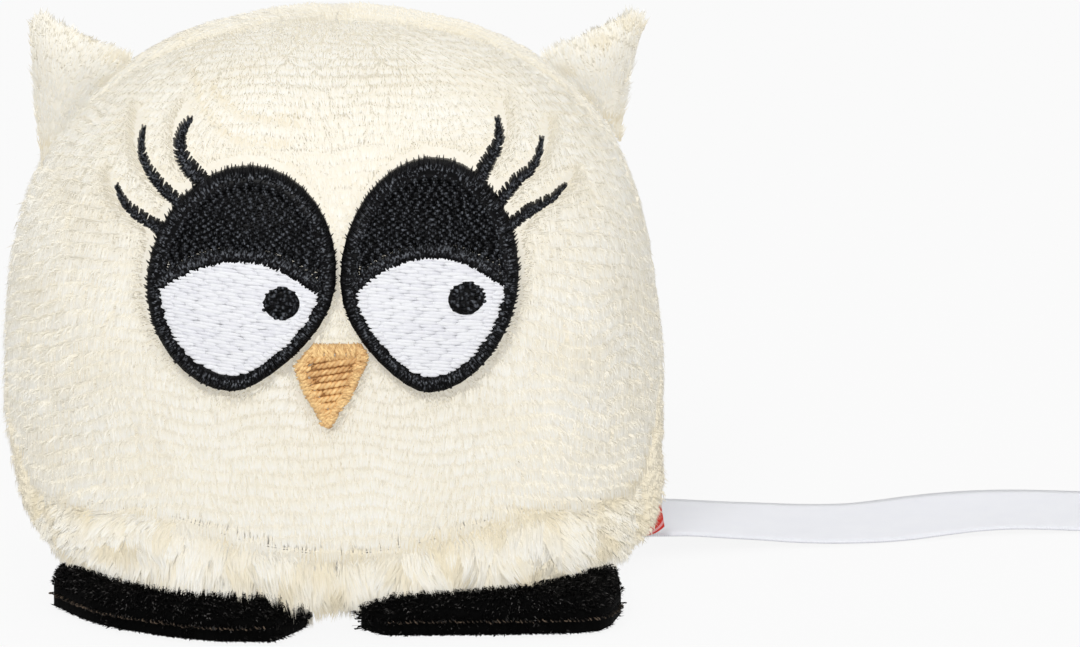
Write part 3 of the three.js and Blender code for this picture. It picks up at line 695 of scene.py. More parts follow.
def panel_pile(node, facing, density, seed, hang=0.0):
    rng = np.random.default_rng(seed)
    corners = outer_faces(node)
    roots = scatter(corners, density, rng)[0]
    rims = rim_points(corners)
    seam_place, seam_gap = nearest(roots, rims)
    over_seam = unit(rims[seam_place] - roots)
    roots = ball_point(ball_direction(roots), root_depth)
    centres = scatter(corners, 1.0, rng)[0]

    level, run = row_heights(facing)

    def row_of(points):
        height = np.interp(points[:, 2] - facing * row_slant * points[:, 1], level, run)
        height = height + 0.5 * drift(points, 7, seed + 1) + 0.12 * drift(points, 2, seed + 10)
        return height, (np.floor(height / row_pitch) + 0.5) * row_pitch

    def stroke(points, normals):
        side = np.sign(points[:, 0]) * fade(np.abs(points[:, 0]), 12, 30) * fade(-points[:, 2], -24, -6)
        side = side * (1 - 0.8 * fade(points[:, 0], 18, 26) * fade(-points[:, 2], -4, 1))
        way = np.column_stack([0.9 * side + 0.22 * drift(points, 9, seed + 2),
                               np.full(len(points), facing * 0.3), np.full(len(points), -1.0)])
        return unit(tangential(way, normals))

    normals = ball_normal(roots)
    down = stroke(roots, normals)
    centre_down = stroke(centres, ball_normal(centres))
    height, line = row_of(centres)
    centres = centres - centre_down * (0.85 * (line - height))[:, None]
    tufts = centres[nearest(roots, centres)[0]]
    pull = tangential(tufts - roots, normals)
    height, line = row_of(roots)
    up_row = (height - line) / row_pitch + 0.5
    near_seam = fade(-seam_gap, -1.6, -0.1)
    loose = 0.12 + 0.3 * fade(drift(roots, 6, seed + 8), -0.4, 1.0)
    down_to_edge = up_row * row_pitch + 0.3 + rng.uniform(-1, 1.2, len(roots)) * loose
    pull = pull * (1 - near_seam)[:, None]
    lean = down * down_to_edge[:, None] + pull * rng.uniform(0.2, 0.5, len(roots))[:, None]
    # Strands at the foot of each row take the Valley colour, in broken patches: painted shade where rows
    # meet.
    valley = 1 - fade(up_row, 0.2, 1.0)
    broken = 0.5 + 0.5 * drift(roots, 4, seed + 3)
    lift = rng.uniform(0.88, 1.06, len(roots)) * (1 + 0.08 * drift(tufts, 1.2, seed + 4))
    heights = pile_length * lift * (1 - 0.2 * valley) * length_by_place(roots)
    tones = 0.9 - 0.35 * valley * np.clip(broken, 0, 1) + rng.normal(0, 0.05, len(roots))
    tones = tones + 0.08 * drift(roots, 5, seed + 5)
    # The back panels are darker low down: painted shade.
    if facing > 0:
        tones = tones - 0.5 * fade(-roots[:, 2], -26, -14)

    deep = np.where(roots[:, 2] < 24, 1.0, 0.2)
    heights = heights * (1 - 0.3 * near_seam * deep)
    # Along the seams the pile is darker, most in the lower part: painted shade in the seam furrows.
    tones = tones - 0.9 * near_seam * deep * np.clip(broken, 0.1, 1)
    over_seam = tangential(over_seam, normals) * near_seam[:, None]

    if hang:
        lean = hang_of_chin(roots, tufts, hang, rng, seed) + pull * 0.5
        # Under the chin the pile is darker between its tufts: painted shade.
        tones = tones - 0.7 * np.clip(drift(tufts, 2.5, seed + 11), 0, 1)
    lean = lean + over_seam
    widths = rng.uniform(*strand_width, len(roots))
    keep = slice(None)
    if node == "front_panel":
        keep = part_round_embroidery(roots, normals, lean, tones, rng)
    picked = [values[keep] for values in (roots, normals, lean, heights, widths, tones)]
    grow_pile(f"{node}_pile", *picked, cream_pile, "body", "cream_plush", [node], seed + 7)


for node, facing, density, seed, hang in (
    ("front_panel", -1, 28, 100, 0.0),
    ("chin_panel_left", -1, 28, 120, 1.7),
    ("chin_panel_right", -1, 28, 140, 1.7),
    ("back_panel_left", 1, 14, 160, 0.0),
    ("back_panel_right", 1, 14, 180, 0.0),
    ("base_panel", -1, 6, 200, 0.0),
):
    panel_ground(node)
    panel_pile(node, facing, density, seed, hang=hang)


# The closing stitches
# Cream sewing thread, drawn zigzag by hand across the slit in the back, which is left open until the
# ball is filled. It lies on the pile in short slanting stitches.
def thread_group():
    """A thread's colour: its own tone by U, its fibres along V, and a painted glint on its arched middle
    """
    group, nodes, links, given, out = new_group(
        "thread_colour", {"Dark": "Color", "Light": "Color", "Glint": "Color", "Grain": "Float",
                          "Crest": "Float", "Narrowness": "Float"}, {"Color": "Color"})
    own_shade, from_end, noise = along_strand(nodes, links, (160, 6, 1))

    def sum_of(operation, *values, clamp=False):
        return calculate(nodes, links, operation, *values, clamp=clamp)

    share = sum_of("MULTIPLY_ADD", sum_of("SUBTRACT", noise, 0.5), given["Grain"], own_shade, clamp=True)
    shade = colour_between(nodes, links, share, given["Dark"], given["Light"])
    off_crest = sum_of("ABSOLUTE", sum_of("SUBTRACT", from_end, given["Crest"]))
    off_crest = sum_of("MULTIPLY", off_crest, given["Narrowness"])
    crest = sum_of("SUBTRACT", 1.0, off_crest, clamp=True)
    # The glint is a painted highlight, in patches along each stitch's crest.
    patchy = sum_of("MULTIPLY_ADD", noise, 6.0, -2.9, clamp=True)
    shine = colour_between(nodes, links, sum_of("MULTIPLY", crest, patchy), shade, given["Glint"])
    links.new(shine, out["Color"])
    return group


thread_colour = thread_group()


def thread_finish(name, dark, light, roughness, grain=0.5, gloss=0.5, glint=None, crest=0.47,
                  narrowness=4.2):
    made, nodes, links = new_material(name)
    shader = nodes["Principled BSDF"]
    # Without a glint colour of its own, the painted glint takes the thread's Light colour.
    colour = group_node(nodes, thread_colour, Dark=dark, Light=light, Glint=glint or light,
                        Grain=grain, Crest=crest, Narrowness=narrowness)
    links.new(colour.outputs["Color"], shader.inputs["Base Color"])
    shader.inputs["Roughness"].default_value = roughness
    shader.inputs["Specular IOR Level"].default_value = gloss
    return made


def thread_mesh(paths, normals, across, high, tones, blunt):
    """Closed threads of oval section along paths with equally many points"""
    count, steps = paths.shape[:2]
    sides = 6
    run = unit(np.gradient(paths, axis=1))
    flat = unit(np.cross(run, normals))
    up = np.cross(flat, run)
    t = np.linspace(0, 1, steps)
    taper = np.clip(np.sin(math.pi * np.clip(t, 0.04, 0.96)) * 2.2, blunt, 1)
    angle = 2 * math.pi * np.arange(sides) / sides
    wide = flat[:, :, None] * np.cos(angle)[None, None, :, None] * (across / 2)[:, None, None, None]
    tall = up[:, :, None] * np.sin(angle)[None, None, :, None] * (high / 2)[:, None, None, None]
    points = paths[:, :, None] + (wide + tall) * taper[None, :, None, None]
    ring = np.arange(sides)
    row = np.arange(steps - 1)[:, None] * sides
    quads = np.stack([row + ring, row + (ring + 1) % sides, row + sides + (ring + 1) % sides,
                      row + sides + ring], axis=-1).reshape(-1, 4)
    start = np.array([(0, 3, 2, 1), (0, 5, 4, 3)])
    end = start[:, ::-1] + (steps - 1) * sides
    one = np.vstack([quads, start, end])
    faces = (one[None] + (steps * sides) * np.arange(count)[:, None, None]).reshape(-1, 4)
    uv = np.empty((count, steps, sides, 2))
    uv[..., 0] = np.clip(tones, 0.01, 0.99)[:, None, None] + 0.002 * np.cos(angle)
    uv[..., 1] = (t * 0.98 + 0.01)[None, :, None]
    return points.reshape(-1, 3), faces, uv.reshape(-1, 2)


def sew_threads(name, paths, normals, across, high, tones, finish, body, nodes, blunt=0.3):
    count = len(paths)
    across, high = np.broadcast_to(across, count), np.broadcast_to(high, count)
    points, faces, uv = thread_mesh(paths, normals, across, high, tones, blunt)
    return make_piece(name, points, faces, finish, body, nodes, uv=uv)


slit_bottom, slit_top, slit_half_width, slit_points = 9, 23, 0.95, 9


def close_back():
    rng = np.random.default_rng(31)
    thread = thread_finish("cream_sewing_thread", (0.72, 0.64, 0.48), (0.93, 0.88, 0.76), 0.6)
    levels = np.linspace(slit_bottom, slit_top, slit_points)
    turns = np.where(np.arange(slit_points) % 2, slit_half_width, -slit_half_width)
    ends = np.column_stack([turns, levels])
    t = np.linspace(0, 1, 9)
    paths = []
    for start, end in zip(ends, ends[1:]):
        across = start + (end - start) * t[:, None]
        lift = 0.2 + 0.55 * np.sin(math.pi * t) ** 0.7
        level = np.abs(across[:, 1] - waist) / np.where(across[:, 1] > waist, crown_rise, base_drop)
        plan = (1 - level ** base_power) ** (1 / base_power)
        aside = np.abs(across[:, 0] / half_width) ** plan_power
        back = (plan ** plan_power - aside) ** (1 / plan_power)
        paths.append(np.column_stack([across[:, 0], back * half_depth + lift, across[:, 1]]))
    paths = np.array(paths)
    normals = np.broadcast_to((0.0, 1.0, 0.0), paths.shape)
    tones = rng.uniform(0.3, 0.9, len(paths))
    sew_threads("closing_stitches", paths, normals, 0.42, 0.4, tones, thread, "body",
                ["closing_thread"])


close_back()


# The eyes
# Machine embroidery through the face panel: a satin-stitched border round each egg, short black fill
# stitches for the lid, long white ones under it, a raised lid line, a pupil and three lashes.
eye_offset, satin_width, lid_line_width = 9.9, 1.9, 1.5
pupil_width, pupil_height = 3.8, 3.3
beak_side_egg, cheek_side_egg = 0.38, 0.1
lid_peak, lid_drop = 0.24, 0.42
eyes = {
    "left": {
        "side": -1, "width": 19.9, "height": 22.7, "altitude": 38.0, "lean": 0.1,
        "pupil": (0.43, -0.17),
        "lashes": [
            (1.65, [(-0.56, 0.95), (-0.64, 1.06), (-0.64, 1.18), (-0.54, 1.32)]),
            (1.15, [(-0.84, 0.76), (-1.01, 0.92), (-1.06, 1.06), (-1.03, 1.2)]),
            (1.2, [(-1.09, 0.5), (-1.24, 0.59), (-1.32, 0.71)]),
        ],
    },
    "right": {
        "side": 1, "width": 18.8, "height": 23.5, "altitude": 38.3, "lean": 0.0,
        "pupil": (0.41, -0.17),
        "lashes": [
            (1.5, [(0.66, 0.94), (0.75, 1.03), (0.77, 1.14), (0.74, 1.24)]),
            (1.25, [(0.97, 0.75), (1.13, 0.82), (1.23, 0.96), (1.24, 1.04)]),
            (1.2, [(1.12, 0.5), (1.34, 0.56), (1.52, 0.65)]),
        ],
    },
}
# The black threads' glint colours are painted highlights on their crests, off the middle on border and
# lid line.
blacks = (0.001, 0.001, 0.001), (0.006, 0.006, 0.007)
black_thread = thread_finish("black_embroidery_thread", *blacks, 0.28, gloss=0.05,
                             glint=(0.13, 0.14, 0.16), narrowness=3.0)
black_edge_thread = thread_finish("black_satin_edge_thread", *blacks, 0.28, gloss=0.05,
                                  glint=(0.15, 0.16, 0.18), crest=0.6, narrowness=3.2)
white_thread = thread_finish("white_embroidery_thread", (0.74, 0.74, 0.80), (0.87, 0.875, 0.90), 0.7,
                             gloss=0.2)


def face_point(x, z, lift):
    """The points of the ball's front, raised by a lift, that lie behind x and z in a front view"""
    above = z > waist
    rise = np.where(above, crown_rise, base_drop) + lift
    power = np.where(above, crown_power, base_power)
    level = np.minimum(np.abs(z - waist) / rise, 1)
    plan = (1 - level ** power) ** (1 / power)
    across = np.abs(x) / (half_width + lift)
    forward = np.maximum(plan ** plan_power - across ** plan_power, 0) ** (1 / plan_power)
    return np.stack([x, -forward * (half_depth + lift), z], axis=-1)


def stitch_paths(starts, ends, low, high, end_low=None, steps=5):
    """Stitches between points of the front view, arched from their sunken ends to their middle"""
    starts, ends = np.asarray(starts, dtype=float), np.asarray(ends, dtype=float)
    t = np.linspace(0, 1, steps)
    flat = starts[:, None] + (ends - starts)[:, None] * t[:, None]
    end_low = low if end_low is None else end_low
    base = low + (end_low - low) * t
    lift = base + (high - base) * np.sin(math.pi * t) ** 0.55
    points = face_point(flat[..., 0], flat[..., 1], np.broadcast_to(lift, flat.shape[:2]))
    normals = ball_normal(points.reshape(-1, 3)).reshape(points.shape)
    return points, normals


def embroider(name, stitches, across, high, finish, node, seed, tone=(0.2, 0.8), blunt=0.3,
              shadow=False):
    """Threads over a node's bed, that take no light from the pale pile beside them"""
    rng = np.random.default_rng(seed)
    paths, normals = stitches
    across = across * rng.uniform(0.88, 1.12, len(paths))
    high = high * rng.uniform(0.85, 1.1, len(paths))
    tones = rng.uniform(*tone, len(paths))
    piece = sew_threads(name, paths, normals, across, high, tones, finish, "body", [node], blunt)
    piece.visible_shadow = piece.visible_diffuse = shadow


def embroidery_bed(node, finish, sink, spread=0.0):
    """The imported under-stitching of a piece of embroidery, pressed into the pile"""
    points, faces = refined(node)
    points = points - ball_normal(points) * sink + unit(points - points.mean(axis=0)) * spread
    uv = np.column_stack([0.4 + 0.15 * drift(points, 1.5, 3), 0.06 + 0.02 * drift(points, 0.8, 4)])
    piece = make_piece(f"{node}_bed", points, faces, finish, "body", [node], uv=uv)
    piece.visible_diffuse = False


def eye_edge(eye, angle, inset):
    egg = np.where(np.cos(angle) * eye["side"] > 0, cheek_side_egg, beak_side_egg)
    narrow = 1 - egg * np.minimum(np.sin(angle), 0) ** 2
    up = (eye["height"] / 2 - inset) * np.sin(angle)
    across = (eye["width"] / 2 - inset) * np.cos(angle) * narrow
    x = eye["side"] * eye_offset + across + eye["lean"] * up
    return np.stack([x, eye["altitude"] + up], axis=-1)


def inside_eye(eye, x, z, inset):
    rise = (z - eye["altitude"]) / (eye["height"] / 2 - inset)
    across = np.sqrt(np.maximum(1 - rise ** 2, 0)) * (eye["width"] / 2 - inset)
    offset = x - eye["side"] * eye_offset - eye["lean"] * (z - eye["altitude"])
    egg = np.where(offset * eye["side"] > 0, cheek_side_egg, beak_side_egg)
    return (np.abs(rise) < 1) & (np.abs(offset) < across * (1 - egg * np.minimum(rise, 0) ** 2))


def lid_height(eye, x):
    share = (x - eye["side"] * eye_offset) / (eye["width"] / 2)
    return eye["altitude"] + eye["height"] / 2 * (lid_peak - lid_drop * share ** 2)


def even_steps(points, spacing):
    """Shares of a polyline's length at an even spacing, as positions in its list of points"""
    run = run_along(points)
    return np.interp(np.arange(spacing / 2, run[-1], spacing), run, np.arange(len(points)))


def along_line(line, spacing):
    """Points at an even spacing along a flat line, and the directions across it"""
    points = points_at(line, np.arange(len(line)), even_steps(line, spacing))
    run = unit(np.gradient(points, axis=0))
    return points, np.column_stack([-run[:, 1], run[:, 0]])


def rows_inside(inside, left, right, bottom, top, pitch, tilt):
    """The stretches of level rows, tilted a little, that lie inside a form"""
    x = np.arange(left, right, 0.04)
    middle = (left + right) / 2
    runs = []
    for level in np.arange(bottom, top, pitch):
        z = level + (x - middle) * tilt
        within = np.concatenate([[False], inside(x, z), [False]])
        edges = np.flatnonzero(np.diff(within.astype(int)))
        runs += [(x[start], x[end - 1], level) for start, end in zip(edges[::2], edges[1::2])]
    return runs, middle


def fill_rows(inside, box, pitch, tilt, length, overrun, rng, shift=0.5, overlap=0.0):
    """Fill stitches laid like bricks along rows, with ragged ends"""
    runs, middle = rows_inside(inside, *box, pitch, tilt)
    starts, ends = [], []
    for index, (first, last, level) in enumerate(runs):
        first, last = first - rng.uniform(*overrun), last + rng.uniform(*overrun)
        offset = (index * shift + rng.uniform(-0.12, 0.12)) % 1 * length
        cuts = np.arange(first - length + offset, last + length, length)
        cuts = cuts + rng.uniform(-0.22, 0.22, len(cuts)) * length
        cuts = np.concatenate([[first], cuts[(cuts > first + 0.3) & (cuts < last - 0.3)], [last]])
        for start, end in zip(cuts - overlap, cuts[1:] + overlap):
            wobble = rng.uniform(-0.04, 0.04, 2)
            starts.append((start, level + (start - middle) * tilt + wobble[0]))
            ends.append((end, level + (end - middle) * tilt + wobble[1]))
    return np.array(starts), np.array(ends)


def satin_across(centres, sides, half, rng, ragged=0.12, slant=0.15):
    """Satin stitches across a line, from one edge to the other"""
    count = len(centres)
    along = np.column_stack([-sides[:, 1], sides[:, 0]])
    jitter = rng.uniform(-slant, slant, (count, 1)) * along
    first = centres - sides * (half + rng.uniform(-ragged, ragged, count))[:, None] - jitter
    last = centres + sides * (half + rng.uniform(-ragged, ragged, count))[:, None] + jitter
    return first, last


def sew_eye(name, eye, seed):
    rng = np.random.default_rng(seed)
    centre = eye["side"] * eye_offset
    low, high = eye["altitude"] - eye["height"] / 2, eye["altitude"] + eye["height"] / 2
    box = (centre - eye["width"] / 2 - 1, centre + eye["width"] / 2 + 1, low + 0.2, high)
    for part, finish, slot, sink, spread in (
        ("outline", black_thread, "black_thread", 0.3, 0.0),
        ("lid_fill", black_thread, "black_thread", 0.3, 0.5),
        ("lid_line", black_thread, "black_thread", 0.3, 0.0),
        ("white_fill", white_thread, "white_thread", 0.06, 0.0),
        ("pupil", black_thread, "black_thread", 0.3, 0.0),
    ):
        embroidery_bed(f"eye_{name}_{part}", finish, sink, spread)

    angle = np.linspace(0, 2 * math.pi, 721)
    stations = even_steps(eye_edge(eye, angle, satin_width / 2), 0.21)
    angle = np.interp(stations, np.arange(721), angle)
    count = len(angle)
    outer = eye_edge(eye, angle + rng.uniform(-0.025, 0.025, count), rng.uniform(-0.2, 0.2, count))
    inner = eye_edge(eye, angle + rng.uniform(-0.025, 0.025, count),
                     satin_width - rng.uniform(0.0, 0.6, count))
    stitches = stitch_paths(outer, inner, 0.3, 1.2, 0.6, steps=7)
    embroider(f"eye_{name}_border_stitches", stitches, 0.25, 0.36, black_edge_thread,
              f"eye_{name}_outline", seed + 1)

    def over_lid(x, z):
        return inside_eye(eye, x, z, satin_width - 0.45) & (z > lid_height(eye, x) + 0.5)

    def under_lid(x, z):
        return inside_eye(eye, x, z, satin_width - 0.05) & (z < lid_height(eye, x) - 0.55)

    starts, ends = fill_rows(over_lid, box, 0.27, -0.03, 1.0, (-0.05, 0.4), rng, shift=0.37)
    embroider(f"eye_{name}_lid_stitches", stitch_paths(starts, ends, 0.8, 1.0), 0.3, 0.26,
              black_thread, f"eye_{name}_lid_fill", seed + 2)
    starts, ends = fill_rows(under_lid, box, 0.34, -0.09, 2.4, (0.0, 0.5), rng, shift=0.37,
                             overlap=0.14)
    embroider(f"eye_{name}_white_stitches", stitch_paths(starts, ends, 0.93, 0.98), 0.48, 0.24,
              white_thread, f"eye_{name}_white_fill", seed + 3, tone=(0.45, 1.0),
              blunt=0.5, shadow=True)
    starts, ends = [], []
    runs, middle = rows_inside(under_lid, *box, 0.4, -0.09)
    for first, last, level in runs:
        for x, way in ((first, -1), (last, 1)):
            if lid_height(eye, x) - level > 0.9:
                start, end = x - way * 0.9, x + way * rng.uniform(0.1, 0.6)
                starts.append((start, level - (start - middle) * 0.09))
                ends.append((end, level - (end - middle) * 0.09))
    embroider(f"eye_{name}_white_spikes", stitch_paths(starts, ends, 0.9, 1.2, 1.05), 0.34, 0.22,
              white_thread, f"eye_{name}_white_fill", seed + 6, tone=(0.6, 1.0),
              blunt=0.1)

    x = np.linspace(centre - eye["width"] / 2 + satin_width * 0.8,
                    centre + eye["width"] / 2 - satin_width * 0.8, 400)
    line = np.column_stack([x, lid_height(eye, x)])
    line = line[inside_eye(eye, line[:, 0], line[:, 1], satin_width * 0.7)]
    starts, ends = satin_across(*along_line(line, 0.2), lid_line_width / 2 + 0.1, rng)
    stitches = stitch_paths(starts, ends, 0.7, 1.2, 0.6, steps=6)
    embroider(f"eye_{name}_lid_line_stitches", stitches, 0.28, 0.36, black_edge_thread,
              f"eye_{name}_lid_line", seed + 4)

    pupil_x = centre + eye["pupil"][0] * eye["width"] / 2
    pupil_z = eye["altitude"] + eye["pupil"][1] * eye["height"] / 2

    def in_pupil(x, z):
        return ((x - pupil_x) / pupil_width) ** 2 + ((z - pupil_z) / pupil_height) ** 2 < 0.25

    box = (pupil_x - pupil_width / 2, pupil_x + pupil_width / 2, pupil_z - pupil_height / 2 + 0.15,
           pupil_z + pupil_height / 2)
    starts, ends = fill_rows(in_pupil, box, 0.38, -0.03, 2.1, (-0.15, 0.25), rng)
    embroider(f"eye_{name}_pupil_stitches", stitch_paths(starts, ends, 0.85, 1.3), 0.42, 0.4,
              black_thread, f"eye_{name}_pupil", seed + 5)

    for number, (width, path) in enumerate(eye["lashes"], 1):
        node = f"eye_{name}_lash_{number}"
        root = math.atan2(path[0][1], path[0][0])
        route = [(*eye_edge(eye, root, 0.6), 0)] + [
            (centre + share * eye["width"] / 2, eye["altitude"] + rise * eye["height"] / 2, 0)
            for share, rise in path]
        centres, sides = along_line(smooth_route(np.array(route), 80)[0][:, :2], 0.17)
        taper = 1 - 0.85 * np.linspace(0, 1, len(centres)) ** 2.4
        starts, ends = satin_across(centres, sides, width / 2 * taper + 0.05, rng, ragged=0.09)
        embroider(f"{node}_stitches", stitch_paths(starts, ends, 0.3, 1.05), 0.28, 0.36, black_thread,
                  node, seed + 10 + number, blunt=0.7)


sew_eye("left", eyes["left"], 300)
sew_eye("right", eyes["right"], 350)


# The beak
# Thick tan thread: twisted fill stitches that slope up to the right, a slanted satin edge down both
# sides, and a band of upright stitches along the top.
beak_width, beak_height, beak_altitude = 8.0, 8.6, 27.4
beak_right = [(0.34, 0.5), (0.44, 0.34), (0.2, -0.14), (-0.07, -0.5)]
beak_left = [(-0.29, 0.5), (-0.54, 0.22), (-0.4, -0.12), (-0.15, -0.48)]
tan_thread = thread_finish("tan_embroidery_thread", (0.45, 0.19, 0.055), (1.0, 0.68, 0.31), 0.5,
                           grain=0.8, gloss=0.4)


def beak_line(shares, steps=60):
    corners = np.array([(x * beak_width, beak_altitude + z * beak_height) for x, z in shares])
    run = run_along(corners)
    return points_at(corners, run, np.linspace(0, run[-1], steps))


def ply_paths(paths, normals, radius, lay, turn):
    """Two plies wound round each path"""
    run = unit(np.gradient(paths, axis=1))
    flat = unit(np.cross(run, normals))
    up = np.cross(flat, run)
    steps = np.linalg.norm(np.diff(paths, axis=1), axis=2)
    length = np.concatenate([np.zeros((len(paths), 1)), np.cumsum(steps, axis=1)], axis=1)
    plies = []
    for phase in (0, math.pi):
        angle = 2 * math.pi * length / lay + turn[:, None] + phase
        plies.append(paths + radius * (flat * np.cos(angle)[..., None] + up * np.sin(angle)[..., None]))
    return np.concatenate(plies), np.concatenate([normals, normals])


def sew_beak():
    rng = np.random.default_rng(41)
    for part in ("fill", "outline"):
        embroidery_bed(f"beak_{part}", tan_thread, sink=0.4)
    left, right = beak_line(beak_left), beak_line(beak_right)

    def in_beak(x, z):
        first = np.interp(z, left[::-1, 1], left[::-1, 0])
        last = np.interp(z, right[::-1, 1], right[::-1, 0])
        bottom = beak_altitude - beak_height * 0.47
        return (x > first + 0.55) & (x < last - 0.55) & (z > bottom) & (z < beak_altitude + 3.0)

    box = (-5.0, 4.0, beak_altitude - beak_height / 2 - 0.6, beak_altitude + beak_height / 2)
    starts, ends = fill_rows(in_beak, box, 0.72, 0.17, 9.0, (0.0, 0.25), rng)
    paths, normals = stitch_paths(starts, ends, 0.65, 1.05, steps=30)
    plies = ply_paths(paths, normals, 0.15, 1.15, rng.uniform(0, 6, len(paths)))
    embroider("beak_fill_stitches", plies, 0.4, 0.4, tan_thread, "beak_fill", 42,
              tone=(0.35, 0.95), shadow=True)

    starts, ends = [], []
    for edge, hand in ((left, 1), (right, -1)):
        points = along_line(edge[4:], 0.36)[0]
        count = len(points)
        starts += list(points + np.column_stack([
            -hand * rng.uniform(0, 0.2, count), rng.uniform(-0.1, 0.1, count)]))
        ends += list(points + np.column_stack([
            hand * rng.uniform(0.85, 1.25, count), rng.uniform(0.15, 0.5, count)]))
    top = beak_altitude + beak_height / 2
    for x in np.arange(left[0, 0] + 0.1, right[0, 0] - 0.05, 0.3):
        starts.append((x + rng.uniform(-0.1, 0.1), top + rng.uniform(-0.15, 0.15)))
        ends.append((x + rng.uniform(-0.3, 0.3), top - rng.uniform(1.3, 1.7)))
    for _ in range(9):
        starts.append((rng.uniform(-1.5, -0.3), beak_altitude - beak_height * rng.uniform(0.34, 0.42)))
        ends.append((rng.uniform(-1.3, -0.4), beak_altitude - beak_height * rng.uniform(0.47, 0.53)))
    paths, normals = stitch_paths(starts, ends, 0.35, 1.15, 0.75, steps=14)
    plies = ply_paths(paths, normals, 0.1, 0.9, rng.uniform(0, 6, len(paths)))
    embroider("beak_edge_stitches", plies, 0.27, 0.3, tan_thread, "beak_outline", 43,
              tone=(0.35, 1.0))


sew_beak()


# The ears
# Two layers of the cream plush each, sewn round their edge, turned and caught in the side seam. The
# pile strokes towards the tip and bristles over the edge.
def faces_towards(corners, axis, facing, least):
    """The corners of the faces that look one way along an axis, and their normals"""
    normals = unit(np.cross(corners[:, 1] - corners[:, 0], corners[:, 2] - corners[:, 0]))
    outside = normals[:, axis] * facing > least
    return corners[outside], normals[outside]


def tuft_centres(roots, corners, per_square, rng):
    """The middle of the tuft that each strand belongs to"""
    centres = scatter(corners, per_square, rng)[0]
    return centres[nearest(roots, centres)[0]]


def grow_ear(side, layer, seed):
    rng = np.random.default_rng(seed)
    node = f"ear_{side}_{layer}"
    facing = -1 if layer == "front" else 1
    body = f"ear_{side}"
    points, faces = refined(node)
    middle = points.mean(axis=0)
    ground = points - unit(points - middle) * 0.25
    piece = make_piece(f"{node}_ground", ground, faces, cream_ground, body, [node])
    piece.visible_shadow = piece.visible_diffuse = False

    corners, face_normals = faces_towards(points[faces], 1, facing, -0.2)
    roots, pick = scatter(corners, 26, rng)
    normals = unit(face_normals[pick] + unit(roots - middle) * 0.35 + (0, 0.25 * facing, 0))
    root_line = points[points[:, 2] < points[:, 2].min() + 4].mean(axis=0)
    tip = points[points[:, 2] > points[:, 2].max() - 0.8].mean(axis=0)
    upward = unit((tip - root_line)[None])[0]
    share = (roots - root_line) @ upward / np.linalg.norm(tip - root_line)
    outward = tangential(roots - root_line, upward)
    outward[:, 1] = 0
    way = unit(upward + outward * 0.16 + rng.normal(0, 0.18, roots.shape))
    tufts = tuft_centres(roots, corners, 0.8, rng)
    leans = tangential(way, normals) * rng.uniform(1.1, 1.8, len(roots))[:, None]
    leans = leans + tangential(tufts - roots, normals) * rng.uniform(0.3, 0.65, len(roots))[:, None]
    rim = fade(-np.abs(face_normals[pick][:, 1]), -0.9, -0.4)
    leans = leans * (1 - 0.5 * rim)[:, None]
    leans[:, 1] -= facing * 0.45 * rim
    flank = rim * fade(-share, -0.6, -0.15)
    leans = leans * (1 - 0.5 * flank)[:, None]
    heights = rng.uniform(0.42, 0.6, len(roots)) * (1 + 0.12 * drift(tufts, 1.5, seed + 1))
    heights = heights * (1 - 0.35 * rim) * (1 - 0.5 * flank)
    # Darker folds in the ear's pile are painted shade.
    fold_shade = fade(drift(roots * (1.0, 1.0, 2.2), 3.0, seed + 2), 0.35, 1.0)
    tones = 0.88 - 0.5 * fold_shade + rng.normal(0, 0.09, len(roots))
    tones = tones - 0.35 * fade(-share, -0.22, 0.02)
    grow_pile(f"{node}_pile", roots - normals * 0.45, normals, leans, heights + 0.35,
              rng.uniform(*strand_width, len(roots)), tones, cream_pile, body, "cream_plush", [node],
              seed + 3, standing=0.05)


for number, side in enumerate(("left", "right")):
    grow_ear(side, "front", 400 + 20 * number)
    grow_ear(side, "back", 410 + 20 * number)


# The feet
# Flat pads of black velvety plush, an upper and a sole round a thin sheet of wadding, overcast
# together round the toes with a dark mottled thread that shows in short slanted stitches.
# The black pile's tip colour, reached by few strands, is a painted sheen.
black_pile = pile_finish("black_plush_pile", (0.0005, 0.0005, 0.0005), (0.001, 0.001, 0.001),
                         (0.2, 0.19, 0.182), roughness=0.9, gloss=0.05)
black_ground = ground_finish("black_plush_ground", (0.0005, 0.0005, 0.0005), (0.002, 0.002, 0.002))
mottled_thread = thread_finish("mottled_seam_thread", (0.003, 0.003, 0.003), (0.17, 0.125, 0.09), 0.6,
                               grain=0.7, gloss=0.05)


def by_rim_seam(points, facing):
    """1 on the edge of a foot's upper or sole, where the rim seam joins them, 0 away from it"""
    if facing > 0:
        return fade(-points[:, 2], -2.8, -2.1)
    return fade(points[:, 2], 0.6, 1.3)


